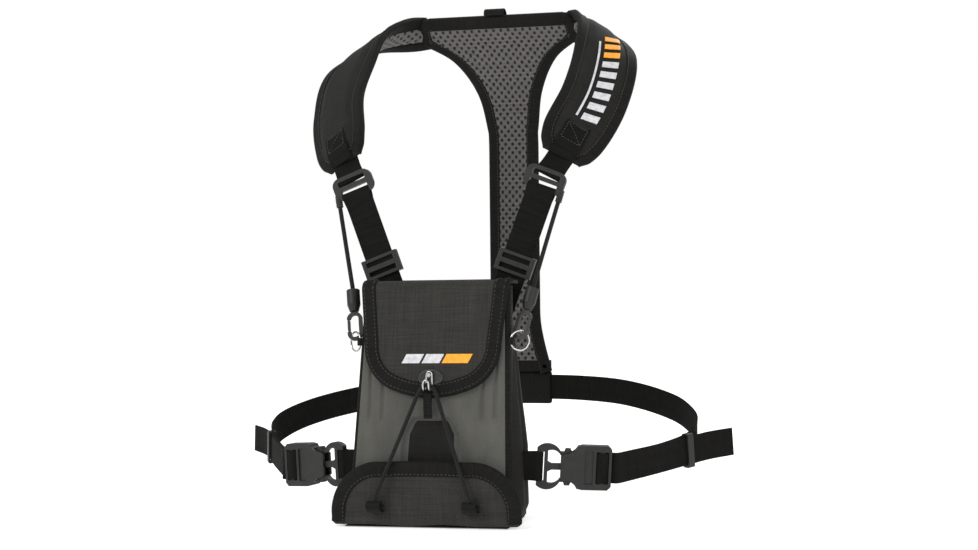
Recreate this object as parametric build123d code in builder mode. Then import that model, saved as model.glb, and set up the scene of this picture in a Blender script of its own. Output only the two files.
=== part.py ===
"""Chest harness for optics: a lidded pouch on a padded yoke, a waist belt and two tethers.

The harness is drawn in the shape it has when worn. Millimetres, +Z up, -Y to the front.
The origin is the middle of the pouch's back face, which lies on the wearer's chest.
"""
import os
from math import cos, hypot, radians, sin

from build123d import *

os.makedirs("parts", exist_ok=True)

# ---------------------------------------------------------------- driving dimensions
webbing_width = 25.0
webbing_thickness = 1.6

pouch_top = 96.0
pouch_bottom = -96.0
pouch_tab_level = -37.0
back_half_width = {"top": 54.0, "tab": 69.0, "bottom": 67.0}
front_half_width = {"top": 60.0, "bottom": 66.0}
front_depth = {"top": 22.0, "bottom": 46.0}
back_thickness = 4.0
wall_thickness = 2.5
floor_thickness = 4.0
shell_thickness = 5.0

lid_half_width = 62.5
lid_drop = 92.0
lid_thickness = 3.0
lid_gap = 0.6
binding_width = 11.0
binding_thickness = 1.0

flap_half_width = 79.0
flap_height = 50.0
flap_thickness = 3.0

bungee_diameter = 3.2
tether_diameter = 3.6

yoke_thickness = 7.0
yoke_bend_radius = 164.0
yoke_bend_start = 235.0
yoke_back = 199.0

pad_thickness = 10.0
ring_wire = 1.6
ring_centre_radius = 8.0

sides = (("left", -1), ("right", 1))


# ---------------------------------------------------------------- helpers
def along_plane(start, end, across):
    """A plane at start whose normal runs to end and whose x axis is nearest to across."""
    normal = (Vector(*end) - Vector(*start)).normalized()
    width = Vector(*across)
    width = (width - normal * width.dot(normal)).normalized()
    return Plane(origin=start, x_dir=width, z_dir=normal)


def route_planes(points, across):
    """One plane at each point of a route, square to the route there."""
    planes = []
    for index, point in enumerate(points):
        before = Vector(*points[max(index - 1, 0)])
        after = Vector(*points[min(index + 1, len(points) - 1)])
        step = after - before
        end = Vector(*point) + step
        planes.append(along_plane(point, tuple(end), across[index]))
    return planes


def mirrored(point, sign):
    """The same point or direction on the left (-1) or right (+1) side."""
    return (sign * point[0], point[1], point[2])


def save(part, name):
    """Labels a finished piece and writes it as one STEP file."""
    part.label = name
    export_step(part, "parts/" + name + ".step")


def depth_at(height):
    """How far the front plane stands from the back face at one height."""
    share = (pouch_top - height) / (pouch_top - pouch_bottom)
    return front_depth["top"] + share * (front_depth["bottom"] - front_depth["top"])


def half_width_at(height):
    """Half the width of the front plane at one height."""
    share = (pouch_top - height) / (pouch_top - pouch_bottom)
    return front_half_width["top"] + share * (front_half_width["bottom"] - front_half_width["top"])


# The front plane leans: its local x is +X, its local y climbs the front, z points out.
front_rise = pouch_top - pouch_bottom
front_lean = front_depth["bottom"] - front_depth["top"]
front_length = hypot(front_rise, front_lean)
front_plane = Plane(
    origin=(0, -front_depth["top"], pouch_top),
    x_dir=(1, 0, 0),
    z_dir=(0, -front_rise / front_length, front_lean / front_length),
)

# ---------------------------------------------------------------- pouch
seat_inner = 29.0
seat_outer = 62.0
seat_bottom = 65.0
seat_depth = 0.3
with BuildPart() as pouch_back_panel:
    with BuildSketch(Plane.XZ):
        with BuildLine():
            Polyline(
                (-back_half_width["top"], pouch_top),
                (back_half_width["top"], pouch_top),
                (back_half_width["tab"], pouch_tab_level),
                (back_half_width["bottom"], pouch_bottom),
                (-back_half_width["bottom"], pouch_bottom),
                (-back_half_width["tab"], pouch_tab_level),
                close=True,
            )
        make_face()
    extrude(amount=back_thickness)
    # The two top corners are set back, where the shoulder straps are sewn on.
    with BuildSketch(Plane.XZ):
        for sign in (-1, 1):
            with BuildLine():
                Polyline(
                    (sign * seat_inner, pouch_top + 1),
                    (sign * seat_outer, pouch_top + 1),
                    (sign * seat_outer, seat_bottom),
                    (sign * seat_inner, seat_bottom),
                    close=True,
                )
            make_face()
    extrude(amount=seat_depth, mode=Mode.SUBTRACT)
save(pouch_back_panel.part, "pouch_back_panel")

wall_levels = ((pouch_top, "top"), (pouch_tab_level, "tab"), (pouch_bottom, "bottom"))
for side, sign in sides:
    with BuildPart() as pouch_side:
        for height, level in wall_levels:
            back_x = back_half_width[level]
            front_x = half_width_at(height)
            front_y = -depth_at(height)
            with BuildSketch(Plane.XY.offset(height)):
                with BuildLine():
                    Polyline(
                        (sign * back_x, -back_thickness),
                        (sign * front_x, front_y),
                        (sign * (front_x - wall_thickness), front_y),
                        (sign * (back_x - wall_thickness), -back_thickness),
                        close=True,
                    )
                make_face()
        loft(ruled=True)
    save(pouch_side.part, "pouch_side_" + side)

floor_half_width = front_half_width["bottom"] - wall_thickness - 0.4
with BuildPart() as pouch_floor:
    with BuildSketch(Plane.XY.offset(pouch_bottom)):
        with BuildLine():
            Polyline(
                (-floor_half_width, -back_thickness),
                (floor_half_width, -back_thickness),
                (floor_half_width, -depth_at(pouch_bottom + floor_thickness)),
                (-floor_half_width, -depth_at(pouch_bottom + floor_thickness)),
                close=True,
            )
        make_face()
    extrude(amount=floor_thickness)
save(pouch_floor.part, "pouch_floor")

groove_length = 60.0
groove_centre = -78.0
recess_depth = 3.4
with BuildPart() as pouch_front_shell:
    with BuildSketch(front_plane):
        with BuildLine():
            Polyline(
                (-front_half_width["top"], 0),
                (front_half_width["top"], 0),
                (front_half_width["bottom"], -front_length),
                (-front_half_width["bottom"], -front_length),
                close=True,
            )
        make_face()
    extrude(amount=shell_thickness)
    fillet(pouch_front_shell.edges().filter_by(Axis.Z, tolerance=20).group_by(Axis.Y)[0], 2.5)
    # The recess between the two moulded lobes runs down behind the lower flap.
    with BuildSketch(front_plane.offset(shell_thickness)):
        with BuildLine():
            Polyline(
                (-15, -109),
                (15, -109),
                (23, -122),
                (25, -185),
                (-25, -185),
                (-23, -122),
                close=True,
            )
        make_face()
    extrude(amount=-recess_depth, mode=Mode.SUBTRACT)
    with BuildSketch(front_plane.offset(shell_thickness)):
        with Locations((-53, groove_centre), (-42, groove_centre), (42, groove_centre), (53, groove_centre)):
            SlotOverall(groove_length, 2.4, rotation=90)
    extrude(amount=-1.0, mode=Mode.SUBTRACT)
save(pouch_front_shell.part, "pouch_front_shell")

# ---------------------------------------------------------------- lid
lid_base = shell_thickness + lid_gap
lid_shoulder = 50.0
hinge_y = -2.5
hinge_z = pouch_top + 1.0


def lid_outline():
    """The shield shape of the lid's front, in the front plane."""
    Polyline((57, -lid_shoulder), (lid_half_width, 3.5), (-lid_half_width, 3.5), (-57, -lid_shoulder))
    ThreePointArc((-57, -lid_shoulder), (-49, -73.5), (-30, -86.5))
    ThreePointArc((-30, -86.5), (0, -lid_drop), (30, -86.5))
    ThreePointArc((30, -86.5), (49, -73.5), (57, -lid_shoulder))


with BuildPart() as lid_panel:
    with BuildSketch(front_plane.offset(lid_base)):
        with BuildLine():
            lid_outline()
        make_face()
    extrude(amount=lid_thickness)
    with BuildSketch(Plane.YZ):
        with BuildLine():
            Polyline(
                (hinge_y, hinge_z),
                (hinge_y, hinge_z + 2.5),
                (-front_depth["top"] - lid_base - 1, hinge_z + 2.5),
                (-front_depth["top"] - lid_base - 1, hinge_z),
                close=True,
            )
        make_face()
    extrude(amount=lid_half_width, both=True)
save(lid_panel.part, "lid_panel")

with BuildPart() as lid_binding:
    with BuildSketch(front_plane.offset(lid_base + lid_thickness)):
        with BuildLine():
            lid_outline()
        make_face()
        with BuildLine():
            Polyline((46, -lid_shoulder), (51.5, 3.6), (-51.5, 3.6), (-46, -lid_shoulder))
            ThreePointArc((-46, -lid_shoulder), (-39.5, -66), (-26, -75.5))
            ThreePointArc((-26, -75.5), (0, -81), (26, -75.5))
            ThreePointArc((26, -75.5), (39.5, -66), (46, -lid_shoulder))
        make_face(mode=Mode.SUBTRACT)
    extrude(amount=binding_thickness)
save(lid_binding.part, "lid_binding")

# ---------------------------------------------------------------- hook on the lid
hook_down = -81.5
patch_plane = front_plane.offset(lid_base + lid_thickness + binding_thickness)
with BuildPart() as hook_patch:
    with BuildSketch(patch_plane):
        with Locations((0, hook_down + 5)):
            Ellipse(11, 7)
    extrude(amount=1.0)
save(hook_patch.part, "hook_patch")

# Side view of the hook: a riveted foot, a trough for the bungee and a lip that points up.
hook_width = 6.0
hook_foot_y = -(depth_at(14.0) + lid_base + lid_thickness + binding_thickness + 1.2)
with BuildPart() as lace_hook:
    with BuildSketch(Plane.YZ):
        with BuildLine():
            Polyline(
                (hook_foot_y, 27),
                (hook_foot_y - 1.4, 27),
                (hook_foot_y - 1.4, 13.5),
                (hook_foot_y - 3.0, 12),
                (hook_foot_y - 6.4, 12),
                (hook_foot_y - 8.0, 13.5),
                (hook_foot_y - 8.0, 20),
                (hook_foot_y - 9.4, 20),
                (hook_foot_y - 9.4, 13),
                (hook_foot_y - 7.0, 10.4),
                (hook_foot_y - 2.4, 10.4),
                (hook_foot_y, 12.8),
                close=True,
            )
        make_face()
    extrude(amount=hook_width / 2, both=True)
save(lace_hook.part, "lace_hook")

rivet_radius = 1.7
with BuildPart() as hook_rivet:
    with BuildSketch(Plane.XZ.offset(-(hook_foot_y - 1.4))):
        with Locations((0, 23.5)):
            Circle(rivet_radius)
    extrude(amount=0.8)
save(hook_rivet.part, "hook_rivet")

# ---------------------------------------------------------------- lower flap
flap_back = 52.0
flap_lean = 0.5
flap_plane = Plane(
    origin=(0, -flap_back, pouch_bottom),
    x_dir=(1, 0, 0),
    z_dir=(0, -flap_height, -flap_lean),
)


def flap_outline(inset):
    """The outline of the lower flap; the inset draws the inner edge of its binding."""
    wide = flap_half_width - inset
    top = flap_height - inset
    Polyline((-wide + 5, inset), (wide - 5, inset))
    ThreePointArc((wide - 5, inset), (wide - 0.8, inset + 2.2), (wide - 1, inset + 7))
    ThreePointArc((wide - 1, inset + 7), (wide - 15, top - 9), (wide - 43, top))
    Line((wide - 43, top), (-wide + 43, top))
    ThreePointArc((-wide + 43, top), (-wide + 15, top - 9), (-wide + 1, inset + 7))
    ThreePointArc((-wide + 1, inset + 7), (-wide + 0.8, inset + 2.2), (-wide + 5, inset))


with BuildPart() as lower_flap:
    with BuildSketch(flap_plane):
        with BuildLine():
            flap_outline(0)
        make_face()
    extrude(amount=flap_thickness)
save(lower_flap.part, "lower_flap")

with BuildPart() as lower_flap_binding:
    with BuildSketch(flap_plane.offset(flap_thickness)):
        with BuildLine():
            flap_outline(0)
        make_face()
        with BuildLine():
            flap_outline(binding_width)
        make_face(mode=Mode.SUBTRACT)
        Rectangle(2 * flap_half_width, 2 * binding_width, mode=Mode.SUBTRACT)
    extrude(amount=binding_thickness)
save(lower_flap_binding.part, "lower_flap_binding")

bungee_foot = (39.5, -64.0, -75.0)
flap_face_y = -(flap_back + flap_thickness + flap_lean * 20 / flap_height)
for side, sign in sides:
    with BuildPart() as bungee_tab:
        with BuildSketch(Plane.XZ.offset(-(flap_face_y - 0.2))):
            with Locations((sign * bungee_foot[0], bungee_foot[2] - 5.4)):
                RectangleRounded(13, 8, 1.5)
        extrude(amount=-bungee_foot[1] + 2.0 + flap_face_y - 0.2)
    save(bungee_tab.part, "bungee_tab_" + side)

# ---------------------------------------------------------------- bungee over the hook
hook_seat = (5.0, hook_foot_y - 4.7, 15.8)
bungee_route = [
    mirrored(bungee_foot, -1),
    mirrored(hook_seat, -1),
    hook_seat,
    bungee_foot,
]
bungee_radius = 4.0
with BuildPart() as front_bungee:
    with BuildLine() as bungee_line:
        FilletPolyline(*bungee_route, radius=bungee_radius)
    with BuildSketch(Plane(origin=bungee_line.line @ 0, z_dir=bungee_line.line % 0)):
        Circle(bungee_diameter / 2)
    sweep()
save(front_bungee.part, "front_bungee")

with BuildPart() as bungee_pull_tab:
    with BuildSketch(Plane.XZ.offset(-(hook_seat[1] + 1.2))):
        with Locations((0, -1.5)):
            RectangleRounded(7, 20, 1)
    extrude(amount=1.6)
save(bungee_pull_tab.part, "bungee_pull_tab")

# ---------------------------------------------------------------- yoke
yoke_foot = 9.0
yoke_crown = 362.0
neck_half_width = 25.5
crown_half_width = 80.0
bend_angle = 51.0
bend_centre_y = yoke_back - yoke_bend_radius


def yoke_slab(front, back):
    """The side view of a layer of the yoke, between two depths in front of its back face."""
    half = radians(bend_angle / 2)
    full = radians(bend_angle)
    ends = []
    for depth in (back, front):
        radius = yoke_bend_radius - depth
        start = (yoke_back - depth, yoke_bend_start)
        middle = (bend_centre_y + radius * cos(half), yoke_bend_start + radius * sin(half))
        end = (bend_centre_y + radius * cos(full), yoke_bend_start + radius * sin(full))
        Line((yoke_back - depth, yoke_foot), start)
        ThreePointArc(start, middle, end)
        ends.append(end)
    Line(ends[0], ends[1])
    Line((yoke_back - back, yoke_foot), (yoke_back - front, yoke_foot))


def yoke_outline(inset):
    """The front view of the yoke: a tall neck strip that flares to the two shoulders."""
    neck = neck_half_width - inset
    crown = crown_half_width - inset / 3
    top = yoke_crown + 10 if inset == 0 else yoke_crown - inset * 0.8
    shoulder = 341 + inset * 0.5
    foot = yoke_foot - 1
    hem = 37.5 - inset
    for sign in (-1, 1):
        Line((sign * neck, 70), (sign * neck, 255))
        Spline(
            (sign * neck, 255),
            (sign * (neck + 7.5), 294),
            (sign * (neck + 26), 324),
            (sign * crown, shoulder),
            tangents=[(0, 1), (sign, 0.28)],
        )
        Line((sign * crown, shoulder), (sign * crown, top))
        Spline((sign * hem, foot), (sign * (hem - 7.5), 34), (sign * neck, 70), tangents=[(-sign * 0.3, 1), (0, 1)])
    Line((-crown, top), (crown, top))
    Line((-hem, foot), (hem, foot))


with BuildPart() as yoke_shell:
    with BuildSketch(Plane.YZ):
        with BuildLine():
            yoke_slab(2.0, 0.0)
        make_face()
    extrude(amount=100, both=True)
    with BuildSketch(Plane.XZ):
        with BuildLine():
            yoke_outline(0)
        make_face()
    extrude(amount=-220, mode=Mode.INTERSECT)
save(yoke_shell.part, "yoke_shell")

with BuildPart() as yoke_mesh_pad:
    with BuildSketch(Plane.YZ):
        with BuildLine():
            yoke_slab(yoke_thickness, 2.0)
        make_face()
    extrude(amount=100, both=True)
    with BuildSketch(Plane.XZ):
        with BuildLine():
            yoke_outline(binding_width)
        make_face()
    extrude(amount=-220, mode=Mode.INTERSECT)
save(yoke_mesh_pad.part, "yoke_mesh_pad")

with BuildPart() as yoke_binding:
    with BuildSketch(Plane.YZ):
        with BuildLine():
            yoke_slab(yoke_thickness, 2.0)
        make_face()
    extrude(amount=100, both=True)
    with BuildSketch(Plane.XZ):
        with BuildLine():
            yoke_outline(0)
        make_face()
    extrude(amount=-220, mode=Mode.INTERSECT)
    with BuildSketch(Plane.XZ):
        with BuildLine():
            yoke_outline(binding_width)
        make_face()
    extrude(amount=-220, mode=Mode.SUBTRACT)
save(yoke_binding.part, "yoke_binding")

crown_y = bend_centre_y + yoke_bend_radius * cos(radians(bend_angle))
crown_z = yoke_bend_start + yoke_bend_radius * sin(radians(bend_angle))
with BuildPart() as hang_loop:
    with BuildSketch(Plane.YZ.offset(-11)):
        with Locations((crown_y, crown_z)):
            Circle(6)
            Circle(4.4, mode=Mode.SUBTRACT)
        with Locations((crown_y + 1, crown_z - 8)):
            Rectangle(30, 12, rotation=-40, mode=Mode.SUBTRACT)
    extrude(amount=22)
save(hang_loop.part, "hang_loop")

# ---------------------------------------------------------------- shoulder pads
pad_centres = (
    (79, 150, 350),
    (108, 118, 337),
    (122, 80, 303),
    (119, 47, 260),
    (106, 23, 224),
    (97, 12, 204),
)
pad_across = (
    (0.05, 0.68, -0.73),
    (0.55, 0.80, -0.20),
    (0.93, 0.30, -0.17),
    (0.90, 0.27, -0.33),
    (0.88, 0.27, -0.38),
    (0.90, 0.20, -0.40),
)
pad_widths = (32, 46, 57, 58, 55, 40)
for side, sign in sides:
    centres = [mirrored(point, sign) for point in pad_centres]
    across = [mirrored(point, sign) for point in pad_across]
    with BuildPart() as shoulder_pad:
        for plane, width in zip(route_planes(centres, across), pad_widths):
            with BuildSketch(plane):
                RectangleRounded(width, pad_thickness, pad_thickness * 0.4)
        loft()
    save(shoulder_pad.part, "shoulder_pad_" + side)

# ---------------------------------------------------------------- shoulder straps
strap_top = (81.5, 3.0, 175.0)
strap_foot = (43.5, 0.95, 72.0)
strap_across = (1, 0, -0.36)
ring_seat = (85.0, 3.3, 184.0)
pad_end = (99.0, 15.0, 209.0)
slider_share = 0.405

strap_run = Vector(*strap_top) - Vector(*strap_foot)
slider_seat = Vector(*strap_foot) + strap_run * slider_share

for side, sign in sides:
    across = mirrored(strap_across, sign)
    foot = mirrored(strap_foot, sign)
    top = mirrored(strap_top, sign)
    ring = mirrored(ring_seat, sign)
    end = mirrored(pad_end, sign)

    with BuildPart() as shoulder_webbing:
        with BuildSketch(along_plane(foot, top, across)):
            Rectangle(webbing_width, webbing_thickness)
        extrude(amount=strap_run.length)
    save(shoulder_webbing.part, "shoulder_webbing_" + side)

    # The ring lies in the strap's plane: one bar in the strap's loop, an open slot, one bar above.
    ring_up = along_plane(top, ring, across)
    ring_face = Plane(origin=ring, x_dir=ring_up.x_dir, z_dir=ring_up.x_dir.cross(ring_up.z_dir))
    with BuildPart() as strap_ring:
        with BuildSketch(ring_face.offset(-2)):
            RectangleRounded(36, 20, 7)
            with Locations((0, 4.2), (0, -4.2)):
                RectangleRounded(25, 4.6, 1, mode=Mode.SUBTRACT)
        extrude(amount=4)
    save(strap_ring.part, "strap_ring_" + side)

    with BuildPart() as pad_end_webbing:
        with BuildSketch(along_plane(ring, end, across)):
            Rectangle(23, 2.4)
        extrude(amount=(Vector(*end) - Vector(*ring)).length)
        with BuildSketch(ring_face.offset(-3)):
            Rectangle(60, 13)
        extrude(amount=6, mode=Mode.SUBTRACT)
    save(pad_end_webbing.part, "pad_end_webbing_" + side)

    # The slider is a flat sleeve with two windows, so that it shows three bars.
    seat = mirrored(tuple(slider_seat), sign)
    slider_up = along_plane(seat, top, across)
    with BuildPart() as strap_slider:
        with BuildSketch(slider_up.offset(-9)):
            RectangleRounded(33, 5.4, 1.2)
            Rectangle(webbing_width + 1, webbing_thickness + 0.8, mode=Mode.SUBTRACT)
        extrude(amount=18)
        windows = Plane(origin=seat, x_dir=slider_up.x_dir, z_dir=slider_up.x_dir.cross(slider_up.z_dir))
        with BuildSketch(windows):
            with Locations((0, 4.2), (0, -4.2)):
                Rectangle(webbing_width, 4.2)
        extrude(amount=4, both=True, mode=Mode.SUBTRACT)
    save(strap_slider.part, "strap_slider_" + side)

# ---------------------------------------------------------------- tethers
tether_axis = Vector(0.19, 0.30, 0.935).normalized()
hook_low = Vector(70.5, -26.0, 53.8)
hook_eye = hook_low + tether_axis * 9.5
ferrule_low = hook_low + tether_axis * 22.5
ferrule_high = hook_low + tether_axis * 41.5
tether_end = Vector(99.0, 3.6, 173.5)
tether_mid = Vector(88.0, -6.0, 131.0)
tether_bend_radius = 180.0

hook_across = (1, -0.15, 0)
gate_gap = 0.35
for side, sign in sides:
    low = mirrored(tuple(ferrule_low), sign)
    high = mirrored(tuple(ferrule_high), sign)
    eye = mirrored(tuple(hook_eye), sign)
    across = mirrored(hook_across, sign)

    with BuildPart() as tether_ferrule:
        with BuildSketch(along_plane(low, high, across)):
            Circle(3.6)
        with BuildSketch(along_plane(low, high, across).offset(6)):
            Circle(5.4)
        loft()
        with BuildSketch(along_plane(low, high, across).offset(6)):
            Circle(5.4)
        extrude(amount=13)
        fillet(tether_ferrule.edges().group_by(SortBy.DISTANCE)[0], 0.4)
    save(tether_ferrule.part, "tether_ferrule_" + side)

    # The hook's eye is a long loop; the gate closes the gap in its outer limb.
    axis_plane = along_plane(low, high, across)
    hook_face = Plane(origin=eye, x_dir=axis_plane.x_dir, z_dir=axis_plane.x_dir.cross(axis_plane.z_dir))
    with BuildPart() as snap_hook:
        with BuildSketch(hook_face.offset(-1.5)):
            SlotOverall(25, 12.4, rotation=90)
            SlotOverall(19.4, 6.8, rotation=90, mode=Mode.SUBTRACT)
            with Locations((5, 1)):
                Rectangle(5, 11, mode=Mode.SUBTRACT)
            with Locations((0, 12.2)):
                Rectangle(4, 1.8)
        extrude(amount=3)
    save(snap_hook.part, "snap_hook_" + side)

    with BuildPart() as snap_gate:
        with BuildSketch(hook_face.offset(-1.1)):
            with Locations((4.9, 1)):
                SlotOverall(11 - 2 * gate_gap, 2.0, rotation=90)
        extrude(amount=2.2)
    save(snap_gate.part, "snap_gate_" + side)

    route = [mirrored(tuple(point), sign) for point in (ferrule_high, tether_mid, tether_end)]
    with BuildPart() as tether_cord:
        with BuildLine() as tether_line:
            FilletPolyline(*route, radius=tether_bend_radius)
        with BuildSketch(Plane(origin=tether_line.line @ 0, z_dir=tether_line.line % 0)):
            Circle(tether_diameter / 2)
        sweep()
    save(tether_cord.part, "tether_cord_" + side)

# ---------------------------------------------------------------- split rings and their tabs
ring_place = (70.5, -26.0, 50.0)
ring_normal = (0.6, -0.8, 0)
ring_eye = (64.1, -30.8, 50.0)
tape_size = (5.6, 5.0, 6.0)
for side, sign in sides:
    place = mirrored(ring_place, sign)
    with BuildPart(Plane(origin=place, z_dir=mirrored(ring_normal, sign))) as split_ring:
        Torus(ring_centre_radius, ring_wire / 2)
    save(split_ring.part, "split_ring_" + side)

    # A folded tape on the pouch's edge holds the ring, whose wire runs through its eye.
    with BuildPart() as ring_tab:
        with BuildSketch(Plane.XY.offset(ring_eye[2] - tape_size[2] / 2)):
            with Locations((sign * ring_eye[0], ring_eye[1])):
                Rectangle(tape_size[0], tape_size[1])
                Circle(1.5, mode=Mode.SUBTRACT)
        extrude(amount=tape_size[2])
    save(ring_tab.part, "ring_tab_" + side)

# ---------------------------------------------------------------- waist belt
with BuildPart() as belt_sleeve:
    with BuildSketch(Plane.XY.offset(-25)):
        with BuildLine():
            Polyline((-36, 194), (0, 197), (36, 194), (36, 203), (0, 206), (-36, 203), close=True)
        make_face()
    extrude(amount=34)
    with BuildSketch(Plane.XY.offset(-21.5)):
        with BuildLine():
            Polyline((-37, 197), (0, 200.1), (37, 197), (37, 200.2), (0, 203.3), (-37, 200.2), close=True)
        make_face()
    extrude(amount=28, mode=Mode.SUBTRACT)
save(belt_sleeve.part, "belt_sleeve")

belt_rear_route = (
    (2, 201.6, -7.5),
    (36, 198.7, -7.5),
    (74, 189, -8),
    (112, 174, -10),
    (146, 154, -15),
    (176, 128, -22),
    (194, 102, -30),
    (201, 84, -36),
)
belt_front_route = (
    (200.5, 70, -51),
    (151, 6, -56.5),
    (146, -4.95, -56.3),
    (141.05, -6.3, -56.0),
)
belt_tail_route = (
    (200.9, 70.6, -51),
    (214, 85, -49.5),
    (232, 98, -48),
)
upright = (0, 0, 1)
for side, sign in sides:
    for name, points, thickness in (
        ("belt_rear_webbing", belt_rear_route, webbing_thickness),
        ("belt_front_webbing", belt_front_route, 2 * webbing_thickness),
        ("belt_tail", belt_tail_route, webbing_thickness),
    ):
        run = [mirrored(point, sign) for point in points]
        with BuildPart() as webbing:
            for plane in route_planes(run, [upright] * len(run)):
                with BuildSketch(plane):
                    Rectangle(webbing_width, thickness)
            loft(ruled=True)
        save(webbing.part, name + "_" + side)

    keeper_from = mirrored(belt_front_route[0], sign)
    keeper_to = mirrored(belt_front_route[1], sign)
    with BuildPart() as belt_keeper:
        with BuildSketch(along_plane(keeper_from, keeper_to, upright).offset(4)):
            RectangleRounded(30, 7.6, 1.5)
            Rectangle(26, 4.4, mode=Mode.SUBTRACT)
        extrude(amount=7)
    save(belt_keeper.part, "belt_keeper_" + side)

# ---------------------------------------------------------------- side-release buckles
# Local x runs out from the pouch along the belt, local y is up, z faces out.
buckle_along = Vector(0.963, 0.262, -0.06).normalized()
buckle_start = Vector(77.5, -23.6, -52.0)
buckle_depth = 10.0
for side, sign in sides:
    along = Vector(*mirrored(tuple(buckle_along), sign))
    start = Vector(*mirrored(tuple(buckle_start), sign))
    face_normal = along.cross(Vector(0, 0, 1)) * sign
    face = Plane(origin=start, x_dir=along, z_dir=face_normal)

    with BuildPart() as pouch_tab_webbing:
        with BuildSketch(face.offset(-1.2)):
            with BuildLine():
                Polyline((-10.5, -12.5), (-10.5, 12.5), (5, 12.5), (5, -12.5), close=True)
            make_face()
        extrude(amount=2.4)
    save(pouch_tab_webbing.part, "pouch_tab_webbing_" + side)

    # Male half: webbing bar, two bowed arms and a guide pin between them.
    with BuildPart() as buckle_male:
        with BuildSketch(face.offset(-2.5)):
            with BuildLine():
                Line((5, -15), (5, 15))
                ThreePointArc((5, 15), (15, 18.5), (24, 12.4))
                Polyline((24, 12.4), (27, 12.2), (28, 15), (32, 15), (34, 11), (34, -11))
                Polyline((34, -11), (32, -15), (28, -15), (27, -12.2), (24, -12.4))
                ThreePointArc((24, -12.4), (15, -18.5), (5, -15))
            make_face()
            with BuildLine():
                Polyline((8, -12), (8, 12), (11, 12), (11, -12), close=True)
            make_face(mode=Mode.SUBTRACT)
            with BuildLine():
                Line((14, 4), (14, 13))
                ThreePointArc((14, 13), (19, 13.4), (24, 9.5))
                Polyline((24, 9.5), (34.5, 6.5), (34.5, 2.5), (17, 2.5), (14, 4))
            make_face(mode=Mode.SUBTRACT)
            with BuildLine():
                Line((14, -4), (14, -13))
                ThreePointArc((14, -13), (19, -13.4), (24, -9.5))
                Polyline((24, -9.5), (34.5, -6.5), (34.5, -2.5), (17, -2.5), (14, -4))
            make_face(mode=Mode.SUBTRACT)
        extrude(amount=5)
    save(buckle_male.part, "buckle_male_" + side)

    # Female half: a tapered housing with side windows, then the ladder for the belt.
    with BuildPart() as buckle_female:
        with BuildSketch(face.offset(-buckle_depth / 2)):
            with BuildLine():
                Polyline((24.5, -9), (24.5, 9), (27, 10.5), (32, 11.5))
                ThreePointArc((32, 11.5), (35.6, 13.6), (38, 17))
                Polyline((38, 17), (42, 18), (63, 18), (66, 15), (66, -15), (63, -18), (42, -18), (38, -17))
                ThreePointArc((38, -17), (35.6, -13.6), (32, -11.5))
                Polyline((32, -11.5), (27, -10.5), (24.5, -9))
            make_face()
        extrude(amount=buckle_depth)
        # The mouth is open at its sides, so the heads of the arms show above and below it.
        with BuildSketch(face.offset(-2.9)):
            with Locations((28, 0)):
                Rectangle(16, 40)
        extrude(amount=5.8, mode=Mode.SUBTRACT)
        # The front is pressed in beside the ladder, so the ladder's bar stands proud.
        with BuildSketch(face.offset(buckle_depth / 2)):
            with Locations((47.5, 0)):
                RectangleRounded(7, 27, 1)
        extrude(amount=-1.2, mode=Mode.SUBTRACT)
        with BuildSketch(face.offset(-buckle_depth)):
            with Locations((55, 0), (62, 0)):
                Rectangle(3.4, 26, mode=Mode.ADD)
        extrude(amount=2 * buckle_depth, mode=Mode.SUBTRACT)
    save(buckle_female.part, "buckle_female_" + side)

tether_length = sum(edge.length for edge in tether_line.edges())
bungee_length = sum(edge.length for edge in bungee_line.edges())
print("tether length", round(tether_length, 1), "arc radius", tether_bend_radius)
print("bungee length", round(bungee_length, 1), "arc radius", bungee_radius)
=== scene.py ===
# %% [markdown]
# # A chest harness for optics
# A lidded pouch hangs on a padded yoke, with a waist belt and two tethers.
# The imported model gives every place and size, so this lesson only dresses it: cloth, tape,
# webbing, cord and moulded plastic, each drawn flat like a sewing pattern and then draped.

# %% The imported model
import math

import bmesh
import bpy
import numpy as np
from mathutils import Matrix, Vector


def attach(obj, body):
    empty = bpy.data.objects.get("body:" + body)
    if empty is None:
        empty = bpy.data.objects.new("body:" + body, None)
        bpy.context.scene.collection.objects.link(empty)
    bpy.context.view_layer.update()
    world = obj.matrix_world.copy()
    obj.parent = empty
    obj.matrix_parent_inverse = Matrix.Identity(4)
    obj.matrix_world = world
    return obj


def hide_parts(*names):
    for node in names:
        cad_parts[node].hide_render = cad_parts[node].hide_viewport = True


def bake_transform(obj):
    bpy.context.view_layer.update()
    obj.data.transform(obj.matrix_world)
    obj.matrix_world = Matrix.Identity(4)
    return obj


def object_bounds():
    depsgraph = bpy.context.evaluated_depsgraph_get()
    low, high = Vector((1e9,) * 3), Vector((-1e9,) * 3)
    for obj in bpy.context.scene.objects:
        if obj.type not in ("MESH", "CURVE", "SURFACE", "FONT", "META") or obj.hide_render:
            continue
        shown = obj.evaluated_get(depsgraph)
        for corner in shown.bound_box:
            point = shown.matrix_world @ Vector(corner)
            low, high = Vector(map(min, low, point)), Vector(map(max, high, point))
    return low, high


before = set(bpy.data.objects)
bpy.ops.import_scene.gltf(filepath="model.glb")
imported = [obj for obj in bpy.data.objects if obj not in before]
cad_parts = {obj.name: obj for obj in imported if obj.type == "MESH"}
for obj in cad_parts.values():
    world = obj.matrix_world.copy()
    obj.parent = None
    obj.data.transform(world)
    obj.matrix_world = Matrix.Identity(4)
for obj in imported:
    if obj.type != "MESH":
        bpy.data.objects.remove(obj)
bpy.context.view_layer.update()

MM = 0.001
SIDES = (("left", -1), ("right", 1))

# %% [markdown]
# The camera stands a little to the harness's right and looks almost level.
# A small sideways shift frames the harness without turning the camera away from it.

# %% Camera
from mathutils import Matrix, Vector

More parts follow.
